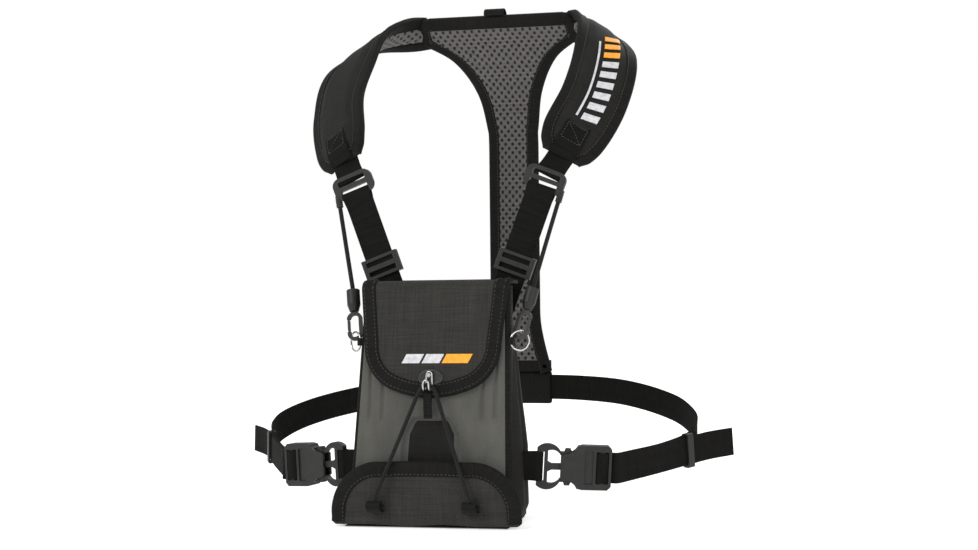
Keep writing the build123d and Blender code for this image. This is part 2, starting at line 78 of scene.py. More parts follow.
CAMERA_SPOT = (0.3200, -0.8607, 0.0867)
LENS, SENSOR = 38.88, 36.0
SHIFT_ACROSS, SHIFT_UP = -0.195, 0.0066
turn, nod, lean = (math.radians(a) for a in (8.0, -0.659, -0.701))
away = Vector((math.sin(turn) * math.cos(nod), -math.cos(turn) * math.cos(nod), math.sin(nod)))
right = (-away).cross(Vector((0, 0, 1))).normalized()
up = right.cross(-away)
cam_x = math.cos(lean) * right + math.sin(lean) * up
cam_y = -math.sin(lean) * right + math.cos(lean) * up
camera = bpy.data.objects.new("camera", bpy.data.cameras.new("camera"))
bpy.context.scene.collection.objects.link(camera)
camera.matrix_world = Matrix((
    (cam_x.x, cam_y.x, away.x, CAMERA_SPOT[0]),
    (cam_x.y, cam_y.y, away.y, CAMERA_SPOT[1]),
    (cam_x.z, cam_y.z, away.z, CAMERA_SPOT[2]),
    (0, 0, 0, 1),
))
camera.data.sensor_width, camera.data.lens = SENSOR, LENS
camera.data.shift_x, camera.data.shift_y = SHIFT_ACROSS, SHIFT_UP
camera.data.clip_start, camera.data.clip_end = 0.02, 20.0
bpy.context.scene.camera = camera
print("camera at", [round(v, 3) for v in camera.location])

# %% [markdown]
# Every finish here is a small node tree. A few helpers keep the trees short: one starts a
# material with its even values set on the shader, others add a maths step, noise or a
# colour ramp, and the last ends it with colour, roughness and bump.

# %% Material helpers
def start_finish(name, **even):
    """A new material whose even values are set on the shader's own sockets."""
    stuff = bpy.data.materials.new(name)
    stuff.use_nodes = True
    shader = stuff.node_tree.nodes["Principled BSDF"]
    for socket, value in even.items():
        shader.inputs[socket.replace("_", " ")].default_value = value
    return stuff, stuff.node_tree, shader


def plug(tree, value, socket):
    """Puts a number or a link into a socket."""
    if isinstance(value, (int, float, tuple)):
        socket.default_value = value
    else:
        tree.links.new(value, socket)


def step(tree, kind, a, b=0.0, c=0.0):
    """One maths node."""
    node = tree.nodes.new("ShaderNodeMath")
    node.operation = kind
    for value, socket in zip((a, b, c), node.inputs):
        plug(tree, value, socket)
    return node.outputs[0]


def blotches(tree, place, size, detail=3.0, stretch=(1, 1, 1)):
    """Soft noise with blotches of about the given size in metres."""
    scaled = tree.nodes.new("ShaderNodeVectorMath")
    scaled.operation = "MULTIPLY"
    plug(tree, place, scaled.inputs[0])
    scaled.inputs[1].default_value = tuple(s / size for s in stretch)
    noise = tree.nodes.new("ShaderNodeTexNoise")
    noise.inputs["Scale"].default_value = 1.0
    noise.inputs["Detail"].default_value = detail
    tree.links.new(scaled.outputs[0], noise.inputs["Vector"])
    return noise.outputs["Fac"]


def shades(tree, amount, *stops):
    """A colour ramp: each stop is a place from 0 to 1 and a colour."""
    ramp = tree.nodes.new("ShaderNodeValToRGB")
    while len(ramp.color_ramp.elements) < len(stops):
        ramp.color_ramp.elements.new(0.5)
    for element, (place, colour) in zip(ramp.color_ramp.elements, stops):
        element.position = place
        element.color = (*colour, 1.0)
    plug(tree, amount, ramp.inputs[0])
    return ramp.outputs[0]


def span(tree, amount, low, high):
    """Stretches 0..1 to low..high."""
    node = tree.nodes.new("ShaderNodeMapRange")
    plug(tree, amount, node.inputs["Value"])
    node.inputs["To Min"].default_value = low
    node.inputs["To Max"].default_value = high
    return node.outputs[0]


def dress(tree, shader, colour, roughness, height, depth, strength=1.0):
    """Plugs colour, roughness and a bump of the given depth in metres into the shader."""
    plug(tree, colour, shader.inputs["Base Color"])
    plug(tree, roughness, shader.inputs["Roughness"])
    bump = tree.nodes.new("ShaderNodeBump")
    bump.inputs["Strength"].default_value = strength
    bump.inputs["Distance"].default_value = depth
    plug(tree, height, bump.inputs["Height"])
    tree.links.new(bump.outputs[0], shader.inputs["Normal"])


def cloth_place(tree):
    """The cloth's own flat coordinates in metres: across, along, and nothing."""
    node = tree.nodes.new("ShaderNodeAttribute")
    node.attribute_name = "cloth"
    parts = tree.nodes.new("ShaderNodeSeparateXYZ")
    tree.links.new(node.outputs["Vector"], parts.inputs[0])
    return node.outputs["Vector"], parts.outputs[0], parts.outputs[1]


def object_place(tree):
    """Coordinates that are fixed to the piece."""
    return tree.nodes.new("ShaderNodeTexCoord").outputs["Object"]


def wave(tree, along, pitch):
    """A sine of the given pitch in metres."""
    return step(tree, "SINE", step(tree, "MULTIPLY", along, 2 * math.pi / pitch))


print("material helpers ready")

# %% [markdown]
# Pack cloth is a plain weave of thick nylon yarns. Two sines multiplied give the
# over-and-under of the yarns, and noise stretched along each yarn makes some of them
# lighter, as in real cloth. The weave reads the cloth's own flat coordinates, so it follows
# each piece round its bends.

# %% Woven cloths
def woven(name, dark, light, yarn, sheen, rough=(0.72, 0.9), depth=0.00028):
    """A plain weave whose yarns are the given pitch apart, in metres."""
    stuff, tree, shader = start_finish(
        name, Sheen_Weight=sheen, Sheen_Roughness=0.45, Specular_IOR_Level=0.16)
    place, across, along = cloth_place(tree)
    over = step(tree, "MULTIPLY", wave(tree, across, yarn * 2), wave(tree, along, yarn * 2))
    warp = blotches(tree, place, yarn * 1.4, 2.0, (1.0, 0.04, 1.0))
    weft = blotches(tree, place, yarn * 1.4, 2.0, (0.04, 1.0, 1.0))
    wear = blotches(tree, place, 0.022, 4.0)
    yarns = step(tree, "MULTIPLY", step(tree, "ADD", warp, weft), 0.5)
    tone = step(tree, "MULTIPLY_ADD", over, 0.16, yarns)
    tone = step(tree, "MULTIPLY_ADD", wear, 0.45, step(tree, "SUBTRACT", tone, 0.22))
    colour = shades(tree, tone, (0.25, dark), (0.8, light))
    dress(tree, shader, colour, span(tree, wear, *rough),
          step(tree, "MULTIPLY_ADD", over, 0.5, yarns), depth)
    return stuff


lid_cloth = woven("lid_cloth", (0.014, 0.0135, 0.012), (0.036, 0.035, 0.031), 0.0011, 0.05)
pack_cloth = woven("pack_cloth", (0.0052, 0.005, 0.0044), (0.0155, 0.015, 0.0135), 0.0012, 0.02)
print("woven cloths:", lid_cloth.name, pack_cloth.name)

# %% [markdown]
# Webbing is woven in ribs that run across it in shallow chevrons, and binding tape is a
# finer grosgrain with straight ribs. Both are near black, with a soft shine on the ribs.

# %% Webbing and tape
def ribbed(name, dark, light, rib, chevron, sheen, rough, depth):
    """Ribs across a strap; a chevron width above nothing folds them into zigzags."""
    stuff, tree, shader = start_finish(
        name, Sheen_Weight=sheen, Sheen_Roughness=0.35, Specular_IOR_Level=0.1)
    place, across, along = cloth_place(tree)
    if chevron:
        fold = step(tree, "PINGPONG", across, chevron)
        along = step(tree, "ADD", along, fold)
    ribs = wave(tree, along, rib)
    yarn = blotches(tree, place, rib * 1.6, 2.0, (0.12, 1.0, 1.0))
    wear = blotches(tree, place, 0.018, 4.0)
    tone = step(tree, "MULTIPLY_ADD", ribs, 0.22, step(tree, "MULTIPLY_ADD", wear, 0.6, yarn))
    colour = shades(tree, step(tree, "MULTIPLY", tone, 0.62), (0.2, dark), (0.85, light))
    dress(tree, shader, colour, span(tree, wear, *rough),
          step(tree, "MULTIPLY_ADD", yarn, 0.5, ribs), depth)
    return stuff


strap_weave = ribbed("strap_weave", (0.0026, 0.0025, 0.0022), (0.0095, 0.0092, 0.0082),
                     0.0021, 0.0062, 0.0, (0.74, 0.92), 0.00018)
edge_tape = ribbed("edge_tape", (0.0038, 0.0037, 0.0033), (0.0125, 0.012, 0.0108),
                   0.0013, 0.0, 0.02, (0.62, 0.82), 0.00013)
print("ribbed finishes:", strap_weave.name, edge_tape.name)

# %% [markdown]
# The yoke is faced with spacer mesh, a thick grey knit with staggered holes. A product of
# two cosines darkens the holes here, near black: partly the black cloth seen through them, partly
# painted shade inside each hole. The pits in the mesh's face are finer than the holes
# and do not line up with them, so the holes show by their colour.

# %% Spacer mesh
HOLE_ACROSS, HOLE_ALONG = 7.4 * MM, 9.0 * MM

mesh_knit, tree, shader = start_finish(
    "mesh_knit", Sheen_Weight=0.1, Sheen_Roughness=0.5, Specular_IOR_Level=0.15)
place, across, along = cloth_place(tree)
# Hole mask: each hole gets the dark of the cloth behind it plus painted shade for its depth.
holes_and_shade = step(tree, "MULTIPLY",
             step(tree, "COSINE", step(tree, "MULTIPLY", across, 2 * math.pi / HOLE_ACROSS)),
             step(tree, "COSINE", step(tree, "MULTIPLY", along, 2 * math.pi / HOLE_ALONG)))
knit = step(tree, "MULTIPLY", wave(tree, across, 0.0012), wave(tree, along, 0.0009))
fuzz = blotches(tree, place, 0.0016, 3.0)
tone = step(tree, "MULTIPLY_ADD", fuzz, 0.22, step(tree, "MULTIPLY_ADD", knit, 0.05, holes_and_shade))
# The darkest stop is the holes: the black cloth behind them and painted shade.
colour = shades(tree, tone, (0.22, (0.135, 0.128, 0.122)), (0.52, (0.060, 0.057, 0.054)),
                (0.74, (0.011, 0.011, 0.011)))
dress(tree, shader, colour, span(tree, fuzz, 0.8, 0.95),
      step(tree, "MULTIPLY_ADD", knit, 0.5, fuzz), 0.0003)
print("spacer mesh holes every", HOLE_ACROSS, "by", HOLE_ALONG, "metres")

# %% [markdown]
# The pouch's front is a moulded foam shell faced with a fine knit. It is a warm grey with
# soft cloudy marks where the mould pressed harder, and a fine knit grain.

# %% Moulded shell
shell_knit, tree, shader = start_finish(
    "shell_knit", Sheen_Weight=0.05, Sheen_Roughness=0.5, Specular_IOR_Level=0.16)
place, across, along = cloth_place(tree)
cloud = blotches(tree, place, 0.045, 5.0)
grain = blotches(tree, place, 0.0012, 2.0)
press = blotches(tree, place, 0.010, 3.0, (1.0, 0.25, 1.0))
stitch_row = step(tree, "MULTIPLY", wave(tree, across, 0.0011), wave(tree, along, 0.0014))
tone = step(tree, "MULTIPLY_ADD", grain, 0.3, step(tree, "MULTIPLY", cloud, 0.6))
tone = step(tree, "MULTIPLY_ADD", press, 0.25, step(tree, "MULTIPLY_ADD", stitch_row, 0.04, tone))
colour = shades(tree, tone, (0.3, (0.045, 0.0445, 0.039)), (0.8, (0.098, 0.097, 0.086)))
dress(tree, shader, colour, span(tree, cloud, 0.78, 0.93),
      step(tree, "MULTIPLY_ADD", stitch_row, 0.3, grain), 0.00022)
print("shell finish:", shell_knit.name)

# %% [markdown]
# The buckles, sliders and hooks are moulded acetal: near black, a fine spark-eroded grain
# and slightly polished edges. The rubber patch is smoother and glossier, and the hook,
# rivet and rings are nickel-bright steel with faint drawing marks.

# %% Plastic, rubber and steel
def moulded(name, dark, light, grain, rough, coat=0.0, depth=0.00012):
    """A moulded plastic or rubber with a fine grain and rubbed patches."""
    stuff, tree, shader = start_finish(name, Specular_IOR_Level=0.3, Coat_Weight=coat)
    place = object_place(tree)
    fine = blotches(tree, place, grain, 2.0)
    rub = blotches(tree, place, 0.009, 4.0)
    colour = shades(tree, step(tree, "MULTIPLY_ADD", rub, 0.6, step(tree, "MULTIPLY", fine, 0.4)),
                    (0.3, dark), (0.75, light))
    dress(tree, shader, colour, span(tree, rub, *rough), fine, depth, 0.5)
    return stuff


buckle_plastic = moulded("buckle_plastic", (0.0085, 0.0083, 0.0078), (0.019, 0.0186, 0.0175),
                         0.0006, (0.4, 0.58))
patch_rubber = moulded("patch_rubber", (0.012, 0.012, 0.012), (0.030, 0.030, 0.030),
                       0.0012, (0.24, 0.40), 0.25, 0.00008)

bright_steel, tree, shader = start_finish("bright_steel", Metallic=1.0)
place = object_place(tree)
drawn = blotches(tree, place, 0.0008, 3.0, (1.0, 1.0, 0.1))
spots = blotches(tree, place, 0.004, 3.0)
colour = shades(tree, spots, (0.25, (0.30, 0.30, 0.30)), (0.7, (0.58, 0.58, 0.57)))
dress(tree, shader, colour, span(tree, drawn, 0.16, 0.34), drawn, 0.00004)
print("hard finishes:", buckle_plastic.name, patch_rubber.name, bright_steel.name)

# %% [markdown]
# The bungee and the tethers are braided cords. The braid is two sets of slanting yarns,
# made from sines of the object coordinates.

# %% Braided cord
cord_braid, tree, shader = start_finish(
    "cord_braid", Sheen_Weight=0.03, Sheen_Roughness=0.4, Specular_IOR_Level=0.2)
place = object_place(tree)
parts = tree.nodes.new("ShaderNodeSeparateXYZ")
tree.links.new(place, parts.inputs[0])
girth = step(tree, "ADD", parts.outputs[0], parts.outputs[1])
one_way = wave(tree, step(tree, "ADD", parts.outputs[2], girth), 0.0022)
other_way = wave(tree, step(tree, "SUBTRACT", parts.outputs[2], girth), 0.0022)
braid = step(tree, "MAXIMUM", one_way, other_way)
fleck = blotches(tree, place, 0.0015, 2.0)
tone = step(tree, "MULTIPLY_ADD", fleck, 0.5, step(tree, "MULTIPLY", braid, 0.3))
colour = shades(tree, tone, (0.2, (0.005, 0.005, 0.0045)), (0.7, (0.018, 0.0175, 0.016)))
dress(tree, shader, colour, span(tree, fleck, 0.6, 0.85), braid, 0.0003)
print("finishes so far:", len(bpy.data.materials))

# %% [markdown]
# The cords come before anything else that is soft. Each is a curve with a few control
# points, given a round section, so its line is as smooth as the real cord's. The bungee
# runs from one tab on the lower flap up over the lid's hook and down to the other tab; each
# tether runs from its hook's ferrule up to the ring on the shoulder strap.

# %% Cords
def laid_cord(name, route, across_mm, body, node):
    """A round cord along a few control points in millimetres."""
    line = bpy.data.curves.new(name, "CURVE")
    line.dimensions = "3D"
    line.bevel_depth = across_mm * MM / 2
    line.bevel_resolution = 5
    line.use_fill_caps = True
    run = line.splines.new("NURBS")
    run.points.add(len(route) - 1)
    for point, spot in zip(run.points, route):
        point.co = (*(v * MM for v in spot), 1.0)
    run.order_u = 3
    run.use_endpoint_u = True
    run.resolution_u = 24
    line.materials.append(cord_braid)
    piece = bpy.data.objects.new(name, line)
    bpy.context.scene.collection.objects.link(piece)
    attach(piece, body)
    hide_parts(node)
    return piece


BUNGEE_ROUTE = ((-39.5, -64, -75), (-11.7, -50.9, -1.9), (-5, -47.75, 15.8),
                (5, -47.75, 15.8), (11.7, -50.9, -1.9), (39.5, -64, -75))
bungee = laid_cord("bungee_cord", BUNGEE_ROUTE, 3.2, "bungee", "front_bungee")

TETHER_ROUTE = ((78.38, -13.55, 92.6), (88, -6, 131), (99, 3.6, 173.5))
for side, sign in SIDES:
    route = [(sign * x, y, z) for x, y, z in TETHER_ROUTE]
    tether = laid_cord("tether_" + side, route, 3.6, "root", "tether_cord_" + side)
    tuple(v * MM for v in route[-1])
print("cords laid: one bungee and two tethers")

# %% [markdown]
# Every soft piece starts as a flat pattern, as it does on the cutting table. A pattern is a
# grid of across and along places in millimetres, with a height for its face and its back.
# A drape function then says where each pattern point goes in the harness. This keeps the
# flat coordinates for the weave and lets one helper sew every panel.

# %% Sewing helpers
def make_piece(name, points, faces, cloth, body, stuff, nodes=()):
    """A smooth mesh from points in millimetres, riding on a body and standing for nodes."""
    mesh = bpy.data.meshes.new(name)
    mesh.from_pydata((np.asarray(points) * MM).tolist(), [], faces)
    skin = bmesh.new()
    skin.from_mesh(mesh)
    bmesh.ops.recalc_face_normals(skin, faces=skin.faces)
    skin.to_mesh(mesh)
    skin.free()
    mesh.polygons.foreach_set("use_smooth", [True] * len(mesh.polygons))
    flat = mesh.attributes.new("cloth", "FLOAT_VECTOR", "POINT")
    flat.data.foreach_set("vector", (np.asarray(cloth) * MM).astype(np.float32).ravel())
    mesh.materials.append(stuff)
    mesh.update()
    piece = bpy.data.objects.new(name, mesh)
    bpy.context.scene.collection.objects.link(piece)
    if isinstance(body, str):
        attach(piece, body)
    else:
        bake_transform(piece)
    if nodes:
        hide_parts(*nodes)
    return piece


def sheet_faces(rows, columns):
    """The quads and the rim of two matching grids, the second one behind the first."""
    faces = []
    back = rows * columns
    for r in range(rows - 1):
        for c in range(columns - 1):
            a = r * columns + c
            faces.append((a, a + 1, a + columns + 1, a + columns))
            faces.append((back + a, back + a + columns, back + a + columns + 1, back + a + 1))
    rim = [c for c in range(columns)]
    rim += [r * columns + columns - 1 for r in range(1, rows)]
    rim += [(rows - 1) * columns + c for c in range(columns - 2, -1, -1)]
    rim += [r * columns for r in range(rows - 2, 0, -1)]
    for a, b in zip(rim, rim[1:] + rim[:1]):
        faces.append((b, a, back + a, back + b))
    return faces


def sew(name, across, along, face, back, drape, body, stuff, nodes=()):
    """Makes a panel with thickness from its flat pattern."""
    rows, columns = across.shape
    top = drape(across, along, face).reshape(-1, 3)
    under = drape(across, along, back).reshape(-1, 3)
    flat = np.stack([across, along, np.zeros_like(across)], -1).reshape(-1, 3)
    return make_piece(name, np.vstack([top, under]), sheet_faces(rows, columns),
                      np.vstack([flat, flat]), body, stuff, nodes)


def resample(line, count):
    """The same line with evenly spaced points."""
    line = np.asarray(line, float)
    steps = np.linalg.norm(np.diff(line, axis=0), axis=1)
    gone = np.concatenate([[0], np.cumsum(steps)])
    want = np.linspace(0, gone[-1], count)
    return np.stack([np.interp(want, gone, line[:, k]) for k in range(line.shape[1])], -1)


def arc(start, middle, end, count=24):
    """Points on the circle through three flat points."""
    (ax, ay), (bx, by), (cx, cy) = start, middle, end
    d = 2 * (ax * (by - cy) + bx * (cy - ay) + cx * (ay - by))
    ux = ((ax**2 + ay**2) * (by - cy) + (bx**2 + by**2) * (cy - ay)
          + (cx**2 + cy**2) * (ay - by)) / d
    uy = ((ax**2 + ay**2) * (cx - bx) + (bx**2 + by**2) * (ax - cx)
          + (cx**2 + cy**2) * (bx - ax)) / d
    a0, a1, a2 = (math.atan2(p[1] - uy, p[0] - ux) for p in (start, middle, end))
    turn_1 = (a1 - a0 + math.pi) % (2 * math.pi) - math.pi
    turn_2 = (a2 - a1 + math.pi) % (2 * math.pi) - math.pi
    angles = a0 + (turn_1 + turn_2) * np.linspace(0, 1, count)
    radius = math.hypot(ax - ux, ay - uy)
    return [(ux + radius * math.cos(a), uy + radius * math.sin(a)) for a in angles]


def inward_of(line, side=1.0):
    """Unit vectors square to a flat line, to its left or its right."""
    ahead = np.gradient(line, axis=0)
    ahead /= np.linalg.norm(ahead, axis=1, keepdims=True)
    return side * np.stack([-ahead[:, 1], ahead[:, 0]], -1)


def bind(name, line, side, section, drape, body, nodes=()):
    """A tape round an edge: each section point is a distance in from the edge and a height."""
    line = resample(line, max(24, int(np.linalg.norm(np.diff(line, axis=0), axis=1).sum() / 1.6)))
    inward = inward_of(line, side)
    gone = np.concatenate([[0], np.cumsum(np.linalg.norm(np.diff(line, axis=0), axis=1))])
    rings, flats = [], []
    girth = 0.0
    for k, (deep, high) in enumerate(section):
        if k:
            girth += math.dist(section[k - 1], (deep, high))
        spot = line + inward * deep
        rings.append(drape(spot[:, 0], spot[:, 1], np.full(len(line), float(high))))
        flats.append(np.stack([np.full(len(line), girth), gone, np.zeros(len(line))], -1))
    points = np.stack(rings, 1).reshape(-1, 3)
    flat = np.stack(flats, 1).reshape(-1, 3)
    count, ring = len(line), len(section)
    faces = []
    for i in range(count - 1):
        for j in range(ring):
            a, b = i * ring + j, i * ring + (j + 1) % ring
            faces.append((a, b, b + ring, a + ring) if side > 0 else (b, a, a + ring, b + ring))
    start, end = list(range(ring)), [(count - 1) * ring + j for j in range(ring)]
    faces.append(start[::-1] if side > 0 else start)
    faces.append(end if side > 0 else end[::-1])
    return make_piece(name, points, faces, flat, body, edge_tape, nodes)


def stitches(name, line, height, drape, body, stuff, pitch=3.2, long=2.3, thick=0.42):
    """A row of sewn stitches: small pointed beads laid end to end along a flat line."""
    total = np.linalg.norm(np.diff(np.asarray(line, float), axis=0), axis=1).sum()
    count = max(2, int(total / pitch))
    fine = resample(line, count * 4 + 1)
    points, faces, flat = [], [], []
    ring = 6
    for k in range(count):
        centre = fine[4 * k + 2]
        ahead = fine[4 * k + 3] - fine[4 * k + 1]
        ahead = ahead / np.linalg.norm(ahead)
        beside = np.array([-ahead[1], ahead[0]])
        base = len(points)
        for share, girth in ((-0.5, 0.25), (-0.25, 1.0), (0.25, 1.0), (0.5, 0.25)):
            for j in range(ring):
                angle = 2 * math.pi * j / ring
                spot = centre + ahead * share * long + beside * math.cos(angle) * thick * girth
                points.append((*spot, height + math.sin(angle) * thick * 0.55 * girth
                               - 0.12 * (girth < 1)))
                flat.append((*spot, 0))
        for r in range(3):
            for j in range(ring):
                a, b = base + r * ring + j, base + r * ring + (j + 1) % ring
                faces.append((a, b, b + ring, a + ring))
        faces.append([base + j for j in range(ring)][::-1])
        faces.append([base + 3 * ring + j for j in range(ring)])
    spots = np.array(points)
    placed = drape(spots[:, 0], spots[:, 1], spots[:, 2])
    return make_piece(name, placed, faces, flat, body, stuff)


thread, tree, shader = start_finish(
    "sewing_thread", Sheen_Weight=0.2, Sheen_Roughness=0.4, Specular_IOR_Level=0.35)
twist = wave(tree, cloth_place(tree)[2], 0.0007)
fuzz = blotches(tree, object_place(tree), 0.003, 3.0)
colour = shades(tree, fuzz, (0.2, (0.007, 0.007, 0.0065)), (0.8, (0.020, 0.0195, 0.018)))
dress(tree, shader, colour, span(tree, fuzz, 0.5, 0.7), twist, 0.00006)


def floats(*places):
    """The same places as arrays of one shape."""
    return [np.asarray(v, float) for v in np.broadcast_arrays(*places)]


def ease(value, low, high):
    """A smooth step from 0 at low to 1 at high."""
    t = np.clip((value - low) / (high - low), 0, 1)
    return t * t * (3 - 2 * t)


def nearest(across, along, line):
    """How far each pattern place is from the nearest point of a line."""
    return np.sqrt(((across[..., None] - line[:, 0]) ** 2
                    + (along[..., None] - line[:, 1]) ** 2).min(-1))


def clustered(count, power=1.6):
    """Places from -1 to 1 that crowd towards both ends."""
    t = np.linspace(-1, 1, count)
    return np.sign(t) * (1 - (1 - np.abs(t)) ** power)


def roundness(edge, radius):
    """Height share of a rounded rim at a distance in from the edge."""
    t = np.clip(edge / radius, 0, 1)
    return np.sqrt(np.clip(1 - (1 - t) ** 2, 0, 1))


def ripple(across, along, size, seed):
    """Gentle unevenness from a few slanted sines, the same on every run."""
    draw = np.random.default_rng(seed)
    total = np.zeros_like(np.asarray(across, float))
    for _ in range(7):
        angle, phase = draw.uniform(0, math.pi), draw.uniform(0, 2 * math.pi)
        pitch = size * draw.uniform(0.7, 1.8)
        total += np.sin((across * math.cos(angle) + along * math.sin(angle)) * 2 * math.pi
                        / pitch + phase)
    return total / 7


# %% [markdown]
# The pouch's front leans: it is deeper at the bottom than at the top. Its drape function
# turns pattern places on that leaning plane into harness places.

# %% The pouch's leaning front
POUCH_TOP, POUCH_BOTTOM = 96.0, -96.0
DEPTH_TOP, DEPTH_BOTTOM = 22.0, 46.0
RISE, LEAN = POUCH_TOP - POUCH_BOTTOM, DEPTH_BOTTOM - DEPTH_TOP
FRONT_LONG = math.hypot(RISE, LEAN)
FRONT_OUT = np.array([0, -RISE / FRONT_LONG, LEAN / FRONT_LONG])
FRONT_UP = np.array([0, LEAN / FRONT_LONG, RISE / FRONT_LONG])
FRONT_START = np.array([0, -DEPTH_TOP, POUCH_TOP])


def on_front(across, along, height):
    """Pattern to harness on the leaning front."""
    across, along, height = np.broadcast_arrays(across, along, height)
    spot = FRONT_START + along[..., None] * FRONT_UP + height[..., None] * FRONT_OUT
    spot[..., 0] += across
    return spot


def share_down(along):
    """How far down the front a place is, from 0 at the top to 1 at the bottom."""
    return np.clip(-along / FRONT_LONG, 0, 1)


print("front length", round(FRONT_LONG, 1), "mm")

# %% [markdown]
# The moulded shell has two soft lobes with a dark hollow between them, and two pressed
# grooves down each side. All of that is height on one fine grid: smooth steps cut the
# hollow, narrow bells cut the grooves, and a broad bell crowns each lobe.

# %% Front shell
rows, columns = 250, 190
u = clustered(columns, 1.25)
v = np.linspace(0, 1, rows)
along = -FRONT_LONG * np.repeat(v[:, None], columns, 1)
half = 60 + 6 * share_down(along)
across = u[None, :] * half
edge = np.minimum(half - np.abs(across), np.minimum(-along, FRONT_LONG + along) + 0.4)
hollow_half = np.interp(-along, [100, 109, 122, 185], [10, 15, 23, 25])
hollow = (ease(hollow_half - np.abs(across), -1.6, 1.8) * ease(-along, 107, 111.5)
          * (1 - ease(-along, 182, 188)))
grooves = sum(np.exp(-((np.abs(across) - x) / 1.5) ** 2) for x in (42.0, 53.0))
grooves *= ease(-along, 44, 52) * (1 - ease(-along, 106, 116))
lobe = (1 - (np.abs(across) / half) ** 2) * ease(-along, 60, 130) * (1 - ease(-along, 150, 193))
channel = np.exp(-(across / 4.5) ** 2) * ease(-along, 84, 92) * (1 - ease(-along, 104, 110))
height = 5.0 * roundness(edge + 0.3, 3.4)
height += 0.9 * lobe - 3.6 * hollow - 1.9 * grooves - 1.3 * channel
height += 0.16 * ripple(across, along, 46, 3)
shell = sew("front_shell", across, along, height, np.zeros_like(height), on_front, "root",
            shell_knit, ("pouch_front_shell",))
print("front shell", len(shell.data.vertices), "points")

# %% [markdown]
# A near-black panel of pack cloth lies in the bottom of the hollow as painted shade, and shows
# as a dark window between the lobes. It is its own thin panel, laid just proud of the shell in the
# hollow.

# %% Painted shade in the hollow
# Top and bottom of the dark sheet that paints the hollow's shade, along the front in millimetres.
SHADE_SHEET_LOW, SHADE_SHEET_HIGH = -181.0, -110.5
v = np.linspace(SHADE_SHEET_HIGH, SHADE_SHEET_LOW, 60)
along = np.repeat(v[:, None], 40, 1)
half = np.interp(-along, [109, 122, 185], [12.5, 19.5, 21.5]) * np.interp(
    -along, [110.5, 113], [0.9, 1.0])
across = np.linspace(-1, 1, 40)[None, :] * half
edge = np.minimum(half - np.abs(across), np.minimum(SHADE_SHEET_HIGH - along, along - SHADE_SHEET_LOW))
height = 1.75 + 0.9 * roundness(edge, 2.5) + 0.25 * ripple(across, along, 22, 5)
# Near-black pack cloth here is painted shade for the deep hollow between the lobes.
sew("hollow_shade_sheet", across, along, height, height - 1.0, on_front, "root",
    pack_cloth)
# Reports where the painted shade sheet starts and ends.
print("hollow lined from", SHADE_SHEET_HIGH, "to", SHADE_SHEET_LOW, "mm")

# %% [markdown]
# The lid is one piece of cloth that starts at the hinge, runs over the pouch's mouth and
# bends down its front. Its drape has two flat stretches joined by a round bend, and its
# pattern is a shield: straight sides that close in, then a broad rounded end.

# %% Lid drape
LID_BASE, LID_HALF, LID_DROP = 5.6, 62.5, 92.0
HINGE_Y, HINGE_Z = -2.5, 97.0
LID_TURN = math.pi / 2 - math.atan2(LEAN, RISE)
BEND_RADIUS = 5.0
# The bend starts where both flat stretches are tangent to its circle.
corner = FRONT_START + FRONT_OUT * LID_BASE
corner_up = (HINGE_Z - corner[2]) / FRONT_UP[2]
corner = corner + FRONT_UP * corner_up
SETBACK = BEND_RADIUS * math.tan(LID_TURN / 2)
ARC_LONG = BEND_RADIUS * LID_TURN
TOP_LONG = HINGE_Y - corner[1] - SETBACK
BEND_CENTRE = np.array([0, corner[1] + SETBACK, HINGE_Z - BEND_RADIUS])


def on_lid(across, along, height):
    """Lid pattern to harness: along is 0 at the top of the front and grows to the hinge."""
    across, along, height = floats(across, along, height)
    front = on_front(across, along, height)
    start = corner_up - SETBACK
    turned = np.clip((along - start) / BEND_RADIUS, 0, LID_TURN)
    out = (np.cos(turned)[..., None] * FRONT_OUT + np.sin(turned)[..., None] * FRONT_UP)
    reach = BEND_RADIUS + (height - LID_BASE)
    bent = BEND_CENTRE + out * reach[..., None]
    past = np.clip(along - start - ARC_LONG, 0, None)
    bent[..., 1] += past
    bent[..., 0] = across
    return np.where((along > start)[..., None], bent, front)


LID_START = corner_up - SETBACK + ARC_LONG + TOP_LONG
print("lid cloth runs", round(LID_START + LID_DROP, 1), "mm from hinge to tip")

# %% [markdown]
# The lid's cloth is a grid between the hinge line and the rounded tip. Its height rises
# from the edge to a soft crown, with slight ripples.

# %% Lid cloth
tip = arc((-57, -50), (-49, -73.5), (-30, -86.5)) + arc((-30, -86.5), (0, -92), (30, -86.5))[1:]
tip += arc((30, -86.5), (49, -73.5), (57, -50))[1:]
columns, rows = 150, 130
tip = resample(tip, columns)
u = np.linspace(-1, 1, columns)
top_x = LID_HALF * u
v = np.concatenate([np.linspace(0, 0.3, 46)[:-1], 0.3 + 0.7 * (clustered(rows - 45, 1.3) + 1) / 2])
across = top_x[None, :] * (1 - v[:, None]) + tip[None, :, 0] * v[:, None]
across = np.sign(across) * np.minimum(np.abs(across), LID_HALF)
along = LID_START * (1 - v[:, None]) + tip[None, :, 1] * v[:, None]
lid_edge = np.vstack([[(-LID_HALF, LID_START)], [(-LID_HALF, 3.5)], tip, [(LID_HALF, 3.5)],
                      [(LID_HALF, LID_START)]])
rim = resample(lid_edge, 500)
gap = nearest(across, along, rim)
crown = 1.1 * ease(gap, 6, 34) * ease(-along, -6, 20)
height = LID_BASE + 3.0 * roundness(gap + 0.5, 1.6) + crown + 0.22 * ripple(across, along, 38, 11)
lid = sew("lid_cloth_panel", across, along, height, np.full_like(height, LID_BASE) + 0.15 * crown,
          on_lid, "lid", lid_cloth, ("lid_panel",))
print("lid", len(lid.data.vertices), "points")

# %% [markdown]
# A folded tape binds the lid's raw edge. In section it is a flattened U: 11 mm wide on the
# face, round the edge, and a little way under. A row of stitches holds its inner edge.

